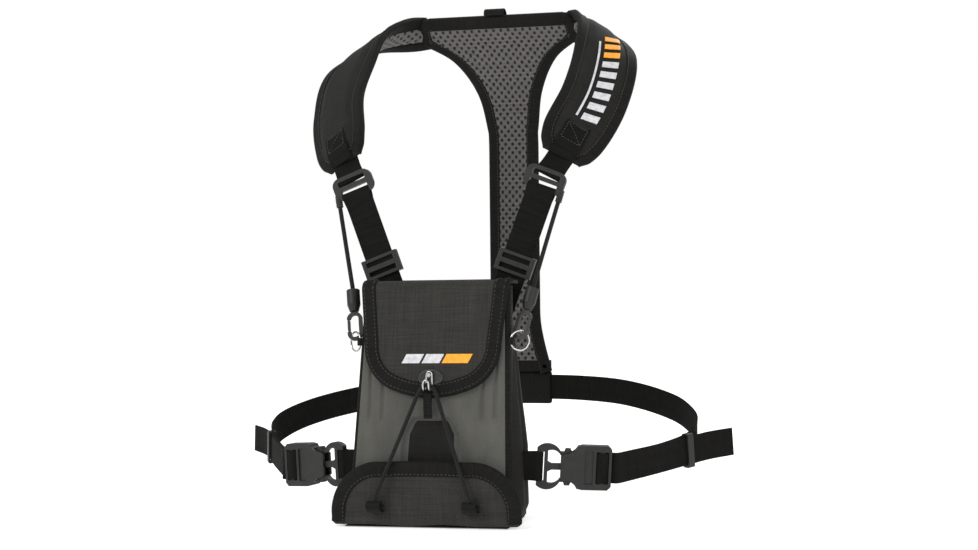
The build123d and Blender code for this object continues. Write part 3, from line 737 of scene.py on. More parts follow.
# %% Lid binding
LID_BIND = ((11.2, 8.3), (11.0, 9.4), (9.6, 9.95), (7.6, 9.7), (4.0, 9.9), (1.0, 9.9),
            (-0.5, 9.2), (-1.0, 7.6), (-0.5, 6.0), (0.8, 5.35), (4.0, 5.3), (8.0, 5.35),
            (8.0, 5.7), (1.6, 5.9), (1.6, 8.3))
lid_sides = np.vstack([[(-62.5, 8.0)], [(-62.5, 3.5)], [(-59.8, -23)], tip, [(59.8, -23)],
                       [(62.5, 3.5)], [(62.5, 8.0)]])
bind("lid_edge_tape", lid_sides, 1.0, LID_BIND, on_lid, "lid", ("lid_binding",))
inner = resample(lid_sides, 400)
inner = inner + inward_of(inner, 1.0) * 9.4
stitches("lid_stitches", inner, 9.95, on_lid, "lid", thread)
outer = resample(lid_sides, 400)
outer = outer + inward_of(outer, 1.0) * 1.9
stitches("lid_edge_stitches", outer, 9.95, on_lid, "lid", thread, 3.4, 2.2, 0.36)
print("lid bound with two rows of stitches")

# %% [markdown]
# The lid carries a plain mark: two light bars and a longer orange one in a slanted row,
# printed thick enough to catch the light.

# %% Lid mark
def printed(name, dark, light):
    """A thick rubbery print with faint cracks and a little cloth showing through."""
    stuff, tree, shader = start_finish(name, Specular_IOR_Level=0.35)
    place, across, along = cloth_place(tree)
    over = step(tree, "MULTIPLY", wave(tree, across, 0.0022), wave(tree, along, 0.0022))
    worn = blotches(tree, place, 0.004, 4.0)
    tone = step(tree, "MULTIPLY_ADD", over, 0.12, worn)
    dress(tree, shader, shades(tree, tone, (0.3, dark), (0.6, light)),
          span(tree, worn, 0.42, 0.6), over, 0.0001)
    return stuff


grey_print = printed("grey_print", (0.42, 0.42, 0.44), (0.58, 0.58, 0.60))
orange_print = printed("orange_print", (0.72, 0.27, 0.016), (0.88, 0.36, 0.025))


def badge(name, corners, base, thick, drape, body, stuff, cells=26):
    """A thin raised print whose flat outline is four corners, slightly domed."""
    a, b, c, d = (np.array(p, float) for p in corners)
    s, t = np.meshgrid(clustered(cells, 1.3) / 2 + 0.5, clustered(cells, 1.3) / 2 + 0.5)
    flat = (a * ((1 - s) * (1 - t))[..., None] + b * (s * (1 - t))[..., None]
            + c * (s * t)[..., None] + d * ((1 - s) * t)[..., None])
    wide, tall = np.linalg.norm(b - a), np.linalg.norm(d - a)
    edge = np.minimum(np.minimum(s, 1 - s) * wide, np.minimum(t, 1 - t) * tall)
    ground = base(flat[..., 0], flat[..., 1]) if callable(base) else np.full(s.shape, float(base))
    return sew(name, flat[..., 0], flat[..., 1], ground + thick * roundness(edge + 0.05, 0.35),
               ground - 0.4, drape, body, stuff)


def lid_ground(across, along):
    """The lid's face height near its middle."""
    return 8.6 + 1.1 * ease(LID_HALF - np.abs(across), 6, 34) + 0.22 * ripple(across, along, 38, 11)


for index, (left, wide, stuff) in enumerate(((-25, 15, grey_print), (-8, 15, grey_print),
                                             (9, 22, orange_print))):
    badge("lid_mark_" + str(index + 1),
          ((left, -65.0), (left + wide, -65.0), (left + wide + 4.0, -57.5), (left + 4.0, -57.5)),
          lid_ground, 0.35, on_lid, "lid", stuff)
print("lid mark: three bars")

# %% [markdown]
# A glossy rubber patch backs the hook where it is riveted to the lid. It is a thin dome
# with a raised rim.

# %% Rubber patch
rings, turns = 14, 60
r = np.linspace(0.0, 1.0, rings)[:, None]
a = np.linspace(0, 2 * math.pi, turns)[None, :]
across, along = 11.0 * r * np.cos(a), -76.5 + 7.0 * r * np.sin(a)
height = 9.3 + 0.9 * roundness((1 - r) * 7 + 0 * a, 1.2) + 0.35 * np.exp(-((r - 0.85) / 0.08) ** 2)
sew("hook_backing", across, along, height + 0.25 * (1 - r**2), np.full(across.shape, 9.0),
    on_lid, "lid", patch_rubber, ("hook_patch",))
print("rubber patch", rings, "by", turns, "points")

# %% [markdown]
# The lower flap is a stiff apron of the same cloth as the lid. It covers the foot of the
# pouch, its top edge is bound in tape, and its bottom edge is turned under and waves a
# little. The whole flap swings on the pouch's bottom edge.

# %% Lower flap
FLAP_OUT = np.array([0, -50.0, -0.5]) / math.hypot(50.0, 0.5)
FLAP_UP = np.array([0, -0.5, 50.0]) / math.hypot(50.0, 0.5)
FLAP_START = np.array([0, -52.0, -96.0])


def on_flap(across, along, height):
    """Pattern to harness on the lower flap, a nearly upright plane."""
    across, along, height = floats(across, along, height)
    spot = FLAP_START + along[..., None] * FLAP_UP + height[..., None] * FLAP_OUT
    spot[..., 0] += across
    return spot


over = [(-78, 7)] + arc((-78, 7), (-64, 41), (-36, 50), 30)[1:]
over += [(-18, 50.6), (0, 50.8), (18, 50.6)] + arc((36, 50), (64, 41), (78, 7), 30)
below = [(-78, 7)] + arc((-78, 7), (-78.2, 2.2), (-74, 0), 12)[1:] + [(-40, 0), (0, 0), (40, 0)]
below += arc((74, 0), (78.2, 2.2), (78, 7), 12)
columns, rows = 150, 70
high, low = resample(over, columns), resample(below, columns)
low[:, 1] += 0.9 * np.sin(low[:, 0] / 11.0) * (1 - np.abs(low[:, 0]) / 79) + 0.5
v = (clustered(rows, 1.3)[:, None] + 1) / 2
across = high[None, :, 0] * (1 - v) + low[None, :, 0] * v
along = high[None, :, 1] * (1 - v) + low[None, :, 1] * v
rim = resample(np.vstack([high, low[::-1]]), 400)
gap = nearest(across, along, rim)
hem = 0.8 * np.exp(-((along - 4.6) / 3.6) ** 2) * ease(gap, 0.2, 2)
height = 3.0 * roundness(gap + 0.5, 1.6) + hem + 0.35 * ripple(across, along, 42, 21)
height += 0.5 * ease(gap, 8, 26)
flap = sew("lower_flap_cloth", across, along, height, np.zeros_like(height), on_flap,
           "lower_flap", lid_cloth, ("lower_flap",))
FLAP_BIND = ((11.0, 2.6), (10.8, 3.8), (9.4, 4.2), (7.0, 4.0), (3.4, 4.2), (0.8, 4.1),
             (-0.6, 3.2), (-1.0, 1.7), (-0.5, 0.2), (0.8, -0.5), (4.0, -0.6), (6.0, -0.5),
             (6.0, 0.0), (1.6, 0.3), (1.6, 2.6))
flap_top = np.vstack([[(-78.2, 3.0)], over, [(78.2, 3.0)]])
bind("lower_flap_tape", flap_top, -1.0, FLAP_BIND, on_flap, "lower_flap", ("lower_flap_binding",))
inner = resample(flap_top, 400)
inner = inner + inward_of(inner, -1.0) * 9.3
stitches("lower_flap_stitches", inner, 4.2, on_flap, "lower_flap", thread)
stitches("lower_flap_hem", np.array([(-70, 8.6), (0, 8.2), (70, 8.6)]), 3.75, on_flap,
         "lower_flap", thread, 3.4, 2.4, 0.4)
print("lower flap", len(flap.data.vertices), "points")

# %% [markdown]
# The pouch's sides are cloth walls. Each is straight at its front and back seams and
# swells a little between them, with a vertical crease where the pouch has been packed
# flat. The back panel is quilted foam, and the floor is a plain stiffened panel.

# %% Side walls
BACK_WIDE = ((-96.0, -37.0, 96.0), (67.0, 69.0, 54.0))


def side_wall(sign):
    """Drape for a wall: across runs from the back seam to the front seam, along is height."""
    def drape(across, along, height):
        across, along, height = np.broadcast_arrays(across, along, height)
        down = (POUCH_TOP - along) / RISE
        back_x = np.interp(along, *BACK_WIDE)
        front_x, front_y = 60 + 6 * down, -(DEPTH_TOP + LEAN * down)
        x = back_x + (front_x - back_x) * across
        y = -4.0 + (front_y + 4.0) * across
        slope = np.stack([-(front_y + 4.0), front_x - back_x], -1)
        slope = slope / np.linalg.norm(slope, axis=-1, keepdims=True)
        return np.stack([sign * (x + height * slope[..., 0]), y + height * slope[..., 1], along],
                        -1)
    return drape


rows, columns = 110, 44
u = (clustered(columns, 1.3) + 1) / 2
v = (clustered(rows, 1.2) + 1) / 2
across = np.repeat(u[None, :], rows, 0)
along = POUCH_TOP - RISE * np.repeat(v[:, None], columns, 1)
sag = 0.5 + 1.2 * np.sin(math.pi * v) + 8.0 * v**1.3 * (1 - 0.75 * ease(v, 0.93, 1.0))
swell = np.sin(math.pi * across) ** 0.8 * sag[:, None]
crease = 1.5 * np.exp(-((across - 0.52) / 0.07) ** 2) * np.sin(math.pi * v)[:, None] ** 0.5
for side, sign in SIDES:
    height = swell - crease + 0.5 * ripple(across * 40, along, 34, 40 + sign)
    order = slice(None) if sign > 0 else slice(None, None, -1)
    wall = sew("pouch_wall_" + side, across[:, order], along, height[:, order],
               height[:, order] - 2.4, side_wall(sign), "root", pack_cloth,
               ("pouch_side_" + side,))
    flat = wall.data.attributes["cloth"].data
    values = np.zeros(len(flat) * 3, np.float32)
    flat.foreach_get("vector", values)
    values[0::3] *= 38.0
    flat.foreach_set("vector", values)
print("side walls", rows, "by", columns)

# %% [markdown]
# The shell meets the side walls at two front corners. A folded tape covers each seam. It is
# the same kind of bound edge as the lid's, with a narrower section.

# %% Seam tape
SEAM = ((-1.8, 2.2), (-1.0, 3.9), (0.2, 4.5), (1.4, 4.6), (1.9, 4.1), (1.2, 3.4), (0.6, 2.6),
        (0.4, 0.8), (0.4, -3.0), (-0.6, -6.0), (-1.8, -6.2), (-2.2, -3.0), (-2.2, 0.5))
for side, sign in SIDES:
    seam = np.array([(sign * 60.0, -0.5), (sign * 66.0, -FRONT_LONG + 1.0)])
    bind("shell_seam_tape_" + side, seam, -sign, SEAM, on_front, "root")
print("seam tapes: 2")


# %% [markdown]
# The back panel lies on the wearer's chest. Its quilting is made as height on the grid:
# narrow bells along four lines and down two sides. The floor is a plain dipped panel.

# %% Back panel and floor
def on_back(across, along, height):
    """Upright drape on the pouch's back: height stands out towards the wearer."""
    across, along, height = np.broadcast_arrays(across, along, height)
    return np.stack([across, height, along], -1)


rows, columns = 160, 110
v = (clustered(rows, 1.2)[:, None] + 1) / 2
u = clustered(columns, 1.2)[None, :]
along = POUCH_TOP - RISE * np.repeat(v, columns, 1)
half = np.interp(along, *BACK_WIDE)
across = -u * half
edge = np.minimum(half - np.abs(across), np.minimum(POUCH_TOP - along, along - POUCH_BOTTOM))
quilt = 0.0
for level in (-58.0, -20.0, 18.0, 56.0):
    quilt = quilt + np.exp(-((along - level) / 1.6) ** 2)
quilt = quilt * ease(34.0 - np.abs(across), 0, 2) + np.exp(
    -((np.abs(across) - 34.0) / 1.4) ** 2) * ease(74 - np.abs(along), 0, 3)
height = -1.2 + 1.2 * roundness(edge + 0.1, 2.4) - 0.9 * np.clip(quilt, 0, 1)
height -= 0.25 * (1 + ripple(across, along, 40, 51)) * ease(edge, 3, 14)
sew("back_panel", across, along, height, np.full_like(height, -4.0), on_back, "root",
    pack_cloth, ("pouch_back_panel",))
box_line = np.array([(-30, 70), (30, 70), (30, -70), (-30, -70), (-30, 70)], float)
stitches("back_panel_stitches", box_line, -0.4, on_back, "root", thread)


def on_floor(across, along, height):
    """Flat drape on the pouch's floor."""
    across, along, height = np.broadcast_arrays(across, along, height)
    return np.stack([across, along, height], -1)


u, v = clustered(70, 1.2)[None, :], (clustered(40, 1.2)[:, None] + 1) / 2
across, along = 63.0 * np.repeat(u, 40, 0), -4.0 - 41.0 * np.repeat(v, 70, 1)
edge = np.minimum(63.0 - np.abs(across), np.minimum(-4.0 - along, along + 45.0))
dip = 0.5 * roundness(edge + 0.1, 2.0) + 0.2 * ripple(across, along, 30, 61)
sew("pouch_base", across, along, -95.4 - dip * 0.8, np.full_like(dip, -92.2), on_floor, "root",
    pack_cloth, ("pouch_floor",))
print("back panel and floor sewn")

# %% [markdown]
# A strap, a pad and the yoke all bend along their length, so they share one kind of drape:
# a run of centre points, each with a direction across. Between the points the run is a
# smooth curve through all of them.

# %% Bent runs
def through(points, count):
    """A smooth curve through the points (Catmull-Rom), with evenly spaced places on it."""
    p = np.asarray(points, float)
    if len(p) == 2:
        return resample(p, count)
    p = np.vstack([2 * p[0] - p[1], p, 2 * p[-1] - p[-2]])
    out = []
    for k in range(1, len(p) - 2):
        t = np.linspace(0, 1, 24, endpoint=False)[:, None]
        out.append(0.5 * (2 * p[k] + (p[k + 1] - p[k - 1]) * t
                          + (2 * p[k - 1] - 5 * p[k] + 4 * p[k + 1] - p[k + 2]) * t**2
                          + (3 * p[k] - p[k - 1] - 3 * p[k + 1] + p[k + 2]) * t**3))
    return resample(np.vstack(out + [p[-2:-1]]), count)


def bent_run(points, across, side=1.0, count=200):
    """A drape along a bent run, and the run's length. Height stands out to the given side."""
    joined = np.hstack([np.asarray(points, float), np.asarray(across, float) * 30.0])
    fine = through(joined, count)
    centre = fine[:, :3]
    ahead = np.gradient(centre, axis=0)
    ahead /= np.linalg.norm(ahead, axis=1, keepdims=True)
    beside = fine[:, 3:]
    beside = beside - ahead * (beside * ahead).sum(1, keepdims=True)
    beside /= np.linalg.norm(beside, axis=1, keepdims=True)
    out = side * np.cross(ahead, beside)
    gone = np.concatenate([[0], np.cumsum(np.linalg.norm(np.diff(centre, axis=0), axis=1))])

    def drape(x, s, h):
        x, s, h = floats(x, s, h)
        def pick(of):
            return np.stack([np.interp(s, gone, of[:, k]) for k in range(3)], -1)
        slack = np.clip(s - gone[-1], 0, None) + np.clip(s, None, 0)
        return (pick(centre) + pick(beside) * x[..., None] + pick(out) * h[..., None]
                + pick(ahead) * slack[..., None])
    return drape, gone[-1]


def strap(name, run, wide, thick, body, stuff, nodes=(), wavy=0.25, seed=0, spacing=2.0,
          flip=1.0):
    """A flat webbing strap along a drape, with rounded selvedges and a slight unevenness."""
    drape, long = run
    rows, columns = max(12, int(long / spacing)), 26
    s = np.linspace(0, long, rows)[:, None] + np.zeros((1, columns))
    x = flip * (clustered(columns, 1.5)[None, :] * wide / 2) + np.zeros((rows, 1))
    edge = wide / 2 - np.abs(x)
    high = thick / 2 * roundness(edge + 0.02, thick * 0.55)
    bead = 0.1 * np.exp(-((edge - 1.3) / 0.5) ** 2)
    drift = wavy * ripple(x * 0.6, s, 40, 90 + seed) * ease(np.minimum(s, long - s), 0, 10)
    return sew(name, x, s, drift + high + bead, drift - high - bead, drape, body, stuff,
               nodes)


def folded(run, path, count=160):
    """A drape that follows a path of (along, height) places in another run, such as a loop."""
    drape = run[0]
    line = through(path, count)
    square = inward_of(line, 1.0)
    gone = np.concatenate([[0], np.cumsum(np.linalg.norm(np.diff(line, axis=0), axis=1))])

    def place(x, s, h):
        x, s, h = floats(x, s, h)
        at = [np.interp(s, gone, line[:, k]) for k in (0, 1)]
        out = [np.interp(s, gone, square[:, k]) for k in (0, 1)]
        return drape(x, at[0] + out[0] * h, at[1] + out[1] * h)
    return place, gone[-1]


print("bent runs ready")

# %% [markdown]
# The yoke is a spacer-mesh pad on a cloth backing, bound all round with wide tape. It hangs
# straight down the wearer's back and bends forward over the shoulders. Its pattern is a
# tall strip that flares to the two shoulders.

# %% Yoke pattern
YOKE_BACK, YOKE_RADIUS, YOKE_BEND_START, YOKE_FOOT = 199.0, 164.0, 235.0, 9.0
YOKE_TURN = math.radians(51.0)
YOKE_MIDDLE = YOKE_RADIUS - 3.5
YOKE_END = YOKE_BEND_START + YOKE_MIDDLE * YOKE_TURN


def on_yoke(across, along, height):
    """Drape on the yoke: height is measured from its back face towards the wearer."""
    across, along, height = floats(across, along, height)
    turned = np.clip((along - YOKE_BEND_START) / YOKE_MIDDLE, 0, YOKE_TURN)
    past = np.clip(along - YOKE_END, 0, None)
    reach = YOKE_RADIUS - height
    y = YOKE_BACK - YOKE_RADIUS + reach * np.cos(turned) - past * np.sin(YOKE_TURN)
    z = YOKE_BEND_START + reach * np.sin(turned) + past * np.cos(YOKE_TURN)
    z = np.where(along < YOKE_BEND_START, along, z)
    return np.stack([across, y, z], -1)


def along_of(level):
    """Pattern distance of a place on the yoke at a given height in the harness."""
    level = np.asarray(level, float)
    turned = np.arcsin(np.clip((level - YOKE_BEND_START) / YOKE_MIDDLE, 0, 1))
    return np.where(level < YOKE_BEND_START, level, YOKE_BEND_START + YOKE_MIDDLE * turned)


def bezier(a, b, c, d, count=30):
    """A cubic from a to d that leaves towards b and arrives from c."""
    t = np.linspace(0, 1, count)[:, None]
    a, b, c, d = (np.asarray(p, float) for p in (a, b, c, d))
    return (1 - t)**3 * a + 3 * (1 - t)**2 * t * b + 3 * (1 - t) * t**2 * c + t**3 * d


YOKE_CORNER = 13.0


def yoke_side():
    """The right-hand outline from the hem to the crown, as across and along."""
    foot = bezier((37.5, 9.0), (35.5, 18), (25.5, 48), (25.5, 70))
    flare = through([(25.5, 255), (33, 294), (51.5, 324), (80, 341)], 60)
    level = np.vstack([foot, [(25.5, 160)], flare])
    line = np.stack([level[:, 0], along_of(level[:, 1])], -1)
    low, soft = YOKE_END - YOKE_CORNER, YOKE_CORNER * (1 - math.sqrt(0.5))
    corner = arc((80, low), (80 - soft, YOKE_END - soft), (80 - YOKE_CORNER, YOKE_END), 16)
    return resample(np.vstack([line, corner]), 420)


yoke_edge = yoke_side()
order = np.argsort(yoke_edge[:, 1], kind="stable")
print("yoke is", round(YOKE_END - YOKE_FOOT, 1), "mm long along its bend")

# %% [markdown]
# The mesh pad is the face that touches the wearer. It is one fine grid, pillowed towards
# the middle and pitted all over, and it stops short of the binding.

# %% Yoke mesh face
rows, columns = 380, 150
s = np.linspace(YOKE_FOOT + 3, YOKE_END - 3, rows)[:, None] + np.zeros((1, columns))
half = np.interp(s, yoke_edge[order, 1], yoke_edge[order, 0])
x = np.linspace(1, -1, columns)[None, :] * (half - 3)
edge = np.minimum(half - np.abs(x), np.minimum(s - YOKE_FOOT, YOKE_END - s))
hole = np.cos(2 * math.pi * x / HOLE_ACROSS) * np.cos(2 * math.pi * s / HOLE_ALONG)
hole = ease(hole, 0.25, 0.75) * ease(edge, 9, 12)
pillow = 2.0 * ease(edge, 5, 20)
height = 4.4 + 2.2 * ease(edge, 4, 11) + 0.4 * pillow - 1.1 * hole + 0.35 * ripple(x, s, 60, 71)
yoke_mesh = sew("yoke_mesh", x, s, height, np.full_like(height, 2.6), on_yoke, "root",
                mesh_knit, ("yoke_mesh_pad",))
print("yoke mesh", len(yoke_mesh.data.vertices), "points")

# %% [markdown]
# The yoke's outer cloth is a second, plain panel behind the mesh. It sags a little, as
# cloth does over foam.

# %% Yoke backing
rows, columns = 240, 70
s = np.linspace(YOKE_FOOT, YOKE_END, rows)[:, None] + np.zeros((1, columns))
half = np.interp(s, yoke_edge[order, 1], yoke_edge[order, 0])
x = clustered(columns, 1.2)[None, :] * half
edge = np.minimum(half - np.abs(x), np.minimum(s - YOKE_FOOT, YOKE_END - s))
sag = 0.45 * ripple(x, s, 50, 73) * ease(edge, 6, 20)
low = 0.3 - 0.5 * ease(edge, 8, 20) + sag
sew("yoke_backing", x, s, low, np.full_like(low, 2.8), on_yoke, "root",
    pack_cloth, ("yoke_shell",))

# %% [markdown]
# One wide tape binds the yoke. It is made as two side tapes that carry the stitches, and
# two short ones across the crown and the hem.

# %% Yoke binding
YOKE_BIND = ((11.2, 5.2), (11.0, 6.9), (9.4, 7.5), (6.6, 7.0), (3.2, 7.0), (1.0, 6.4), (-0.4, 4.9),
             (-0.8, 3.2), (-0.4, 1.4), (1.0, 0.1), (4.0, -0.35), (9.4, -0.4), (11.0, 0.1),
             (11.0, 1.2), (6.0, 2.2))
hem_line = np.array([(-36.6, 9.0), (36.6, 9.0)])
for side, sign in SIDES:
    line = yoke_edge * np.array([sign, 1])
    bind("yoke_tape_" + side, line, sign, YOKE_BIND, on_yoke, "root",
         ("yoke_binding",) if sign < 0 else ())
    row = resample(line, 300)
    row = row + inward_of(row, sign) * 9.4
    stitches("yoke_stitches_" + side, row, 7.5, on_yoke, "root", thread)
bind("yoke_tape_crown", np.array([(67.5, YOKE_END), (-67.5, YOKE_END)]), 1.0, YOKE_BIND,
     on_yoke, "root")
bind("yoke_tape_hem", hem_line, 1.0, YOKE_BIND, on_yoke, "root")
print("yoke bound on four sides")

# %% [markdown]
# Each shoulder pad is a crowned foam pad of black cloth, lined with the yoke's mesh, and
# bound in tape along both edges. Its run starts on the yoke's shoulder, curls forward over
# the wearer and ends above the strap's ring.

# %% Shoulder pads
PAD_CENTRES = ((58, 149.0, 349.3), (79, 150, 350), (108, 118, 337), (122, 80, 303),
               (119, 47, 260), (106, 23, 224), (97, 12, 204))
PAD_ACROSS = ((0.0, 0.69, -0.72), (0.05, 0.68, -0.73), (0.55, 0.80, -0.20), (0.93, 0.30, -0.17),
              (0.90, 0.27, -0.33), (0.88, 0.27, -0.38), (0.90, 0.20, -0.40))
PAD_WIDTHS = (30, 33, 46, 57, 58, 55, 40)
PAD_BIND = ((9.4, 1.9), (9.2, 3.1), (7.8, 3.6), (5.0, 3.2), (1.2, 3.1), (-0.4, 2.2), (-0.9, 0.0),
            (-0.4, -2.2), (1.2, -3.1), (5.0, -3.2), (7.8, -3.5), (9.2, -3.0), (9.4, -1.9),
            (6.0, -1.2), (6.0, 1.2))
PAD_CROWN, PAD_ROOT_CURVE, LINING_START, LINING_INSET = 3.4, 0.75, 24, 8.5
FILL_FRAMES, PAD_SWELL = 14, 1.2


def mirrored(points, sign):
    """The same points on the left (-1) or right (+1) side."""
    return [(sign * x, y, z) for x, y, z in points]


def pad_widths(long):
    """Places along the pad and the half widths there."""
    joined = np.array(PAD_CENTRES, float)
    gone = np.concatenate([[0], np.cumsum(np.linalg.norm(np.diff(joined, axis=0), axis=1))])
    fine = through(np.stack([gone * long / gone[-1], np.array(PAD_WIDTHS) / 2.0], -1), 200)
    return fine[:, 0], fine[:, 1]


def swollen(piece, cap_mm, pressure=4.0):
    """Fills a pad with a short pressure simulation and keeps each point near its start."""
    start = np.zeros(len(piece.data.vertices) * 3)
    piece.data.vertices.foreach_get("co", start)
    start = start.reshape(-1, 3)
    cloth = piece.modifiers.new("fill", "CLOTH")
    cloth.settings.use_pressure = True
    cloth.settings.uniform_pressure_force = pressure
    cloth.settings.quality = 4
    cloth.settings.tension_stiffness = cloth.settings.compression_stiffness = 25
    cloth.settings.effector_weights.gravity = 0
    cloth.point_cache.frame_end = FILL_FRAMES
    scene = bpy.context.scene
    for number in range(1, FILL_FRAMES + 1):
        scene.frame_set(number)
    shaped = piece.evaluated_get(bpy.context.evaluated_depsgraph_get()).to_mesh()
    moved = np.zeros(len(start) * 3)
    shaped.vertices.foreach_get("co", moved)
    shift = moved.reshape(-1, 3) - start
    far = np.linalg.norm(shift, axis=1, keepdims=True)
    shift *= np.minimum(1.0, cap_mm * MM / np.maximum(far, 1e-9))
    piece.modifiers.remove(cloth)
    piece.data.vertices.foreach_set("co", (start + shift).ravel())
    piece.data.update()
    scene.frame_set(1)
    return float(np.linalg.norm(shift, axis=1).max() / MM)


pad_runs = {}
for side, sign in SIDES:
    run = bent_run(mirrored(PAD_CENTRES, sign), mirrored(PAD_ACROSS, sign), sign, 260)
    pad_runs[side] = run
    drape, long = run
    width_at = pad_widths(long)
    rows, columns = 150, 46
    s = np.linspace(0, long, rows)[:, None] + np.zeros((1, columns))
    half = np.interp(s, *width_at)
    near_end = ease(long - s, -2, 9)
    half = half * (0.82 + 0.18 * near_end)
    x = sign * clustered(columns, 1.2)[None, :] * half
    edge = np.minimum(half - np.abs(x), np.minimum(s, long - s) + 0.2)
    root = 0.35 + 0.65 * ease(s, 16, 44)
    crown = (PAD_CROWN * root * ease(half - np.abs(x), 6, 17)
             * ease(np.minimum(s - 10, long - s), 2, 20))
    bumps = 0.5 * ripple(x, s, 36, 81 + sign) * ease(edge, 5, 16)
    outer = 2.2 * root * roundness(edge + 0.2, 1.8) + crown + bumps
    inner = -(2.0 * root * roundness(edge + 0.2, 1.8) + PAD_ROOT_CURVE * crown)
    pad = sew("pad_" + side, x, s, outer, inner, drape, "root", pack_cloth,
              ("shoulder_pad_" + side,))
    moved = swollen(pad, PAD_SWELL)
    print("pad", side, round(long, 1), "mm long, swelled by", round(moved, 2), "mm")
    # The mesh lining is a thin panel on the wearer's side.
    shrink = np.maximum(half - LINING_INSET, 2.0) / half
    xl = x * shrink
    sl = LINING_START + s * (long - 29) / long
    hole = np.cos(2 * math.pi * xl / HOLE_ACROSS) * np.cos(2 * math.pi * sl / HOLE_ALONG)
    low = -(2.1 + PAD_ROOT_CURVE * PAD_CROWN * ease(half - np.abs(xl), 6, 17)
            * ease(np.minimum(sl - 10, long - sl), 2, 20))
    sew("pad_lining_" + side, xl, sl, np.full_like(xl, 0.0) + low + 0.8,
        low - 1.9 + 0.6 * ease(hole, 0.3, 0.8), drape, "root", mesh_knit)
    # Tape along both edges, then the stitches that hold it.
    grid = np.linspace(15, long - 0.5, 160)
    edge_x = np.interp(grid, *width_at) * (0.82 + 0.18 * ease(long - grid, -2, 9))
    for name, way in (("inner", -1), ("outer", 1)):
        line = np.stack([sign * way * edge_x, grid], -1)
        inner_side = sign * way
        bind("pad_tape_" + name + "_" + side, line, inner_side, PAD_BIND, drape, "root")
        row = resample(line, 200)
        row = row + inward_of(row, inner_side) * 7.8
        stitches("pad_stitches_" + name + "_" + side, row, 3.65, drape, "root",
                 thread)

# %% [markdown]
# The right pad carries a row of slanted bars, orange near the shoulder and light grey lower
# down, beside one thin grey line.

# %% Pad mark
pad_drape, pad_long = pad_runs["right"]


def pad_ground(across, along):
    """The outer face height of a pad."""
    half = np.interp(along, *pad_widths(pad_long))
    return (2.2 + PAD_CROWN * ease(half - np.abs(across), 6, 17)
            + 0.5 * ripple(across, along, 36, 82) * 0.6 + 1.0)


for index in range(9):
    low = pad_long * (0.40 + 0.052 * index)
    stuff = orange_print if index < 3 else grey_print
    badge("pad_bar_" + str(index + 1),
          ((-2.0, low), (12.5, low - 3.0), (12.5, low + 4.2), (-2.0, low + 7.2)),
          pad_ground, 0.35, pad_drape, "root", stuff, 18)
badge("pad_line", ((-7.5, pad_long * 0.44), (-5.6, pad_long * 0.44), (-5.6, pad_long * 0.84),
                   (-7.5, pad_long * 0.84)),
      pad_ground, 0.3, pad_drape, "root", grey_print, 40)
print("pad mark: 9 bars and a line")

# %% [markdown]
# Each shoulder strap is one length of webbing: it is sewn behind the pouch, rises through
# the slider, wraps the lower bar of the ring and comes back down to the slider. The loop at
# the pad's end wraps the ring's upper bar in the same way.

# %% Shoulder straps
STRAP_TOP, STRAP_FOOT, STRAP_ACROSS = (81.5, 3.0, 175.0), (43.5, 0.95, 72.0), (1, 0, -0.36)
RING_SEAT, PAD_END, PAD_INSIDE = (85.0, 3.3, 184.0), (99.0, 15.0, 209.0), (106, 23, 224)
STRAP_LONG = math.dist(STRAP_TOP, STRAP_FOOT)
SLIDER_AT = 0.405 * STRAP_LONG
LAYER = 0.56
for side, sign in SIDES:
    across = mirrored((STRAP_ACROSS,) * 2, sign)
    run = bent_run(mirrored((STRAP_FOOT, STRAP_TOP), sign), across, sign)
    top = STRAP_LONG
    path = ((0, LAYER), (40, LAYER), (top - 12, LAYER), (top - 5, 1.6), (top + 0.5, 2.9),
            (top + 3.6, 2.0), (top + 4.8, 0.0), (top + 3.6, -2.0), (top + 0.5, -2.9),
            (top - 5, -1.6), (top - 12, -LAYER), (SLIDER_AT + 20, -LAYER), (SLIDER_AT, -LAYER))
    strap("shoulder_strap_" + side, folded(run, path, 400), 25, 1.05, "root",
          strap_weave, ("shoulder_webbing_" + side,), 0.0, 1, 1.2)
    run = bent_run(mirrored((RING_SEAT, PAD_END, PAD_INSIDE), sign),
                   mirrored((STRAP_ACROSS,) * 3, sign), sign)
    path = ((34, 2.6), (24, 1.6), (17, 1.4), (12.5, 2.0), (8.8, 3.0), (5.6, 2.2), (4.4, 0.0),
            (5.6, -2.2), (8.8, -3.0), (12.5, -2.0), (17, -1.4), (24, -1.6), (34, -2.6))
    strap("pad_end_loop_" + side, folded(run, path, 260), 23, 1.2, "root",
          strap_weave, ("pad_end_webbing_" + side,), 0.0, 2, 1.0)
    # A stitched tab on the pad's end holds the loop.
    end_run = pad_runs[side]
    long = end_run[1]
    hump = ((long - 34, 5.2), (long - 22, 6.1), (long - 10, 5.6), (long - 3, 4.4),
            (long + 1.5, 3.2))
    strap("pad_end_tab_" + side, folded(end_run, hump, 80), 23, 1.5, "root",
          strap_weave, (), 0.05, 3, 1.4)
    box_line = np.array([(-9, 4), (9, 4), (9, 20), (-9, 20), (-9, 4), (9, 20)], float)
    stitches("pad_end_stitches_" + side, box_line, 0.9, folded(end_run, hump, 80)[0], "root",
             thread, 2.8, 2.0, 0.4)
print("straps", round(STRAP_LONG, 1), "mm from foot to ring")

# %% [markdown]
# The waist belt is one length of webbing each side. It leaves the sleeve on the yoke, comes
# round the wearer and turns forward to the buckle. Past the buckle's bar it doubles back
# outside itself, through a keeper, and its stiff tail stands straight out at the side.

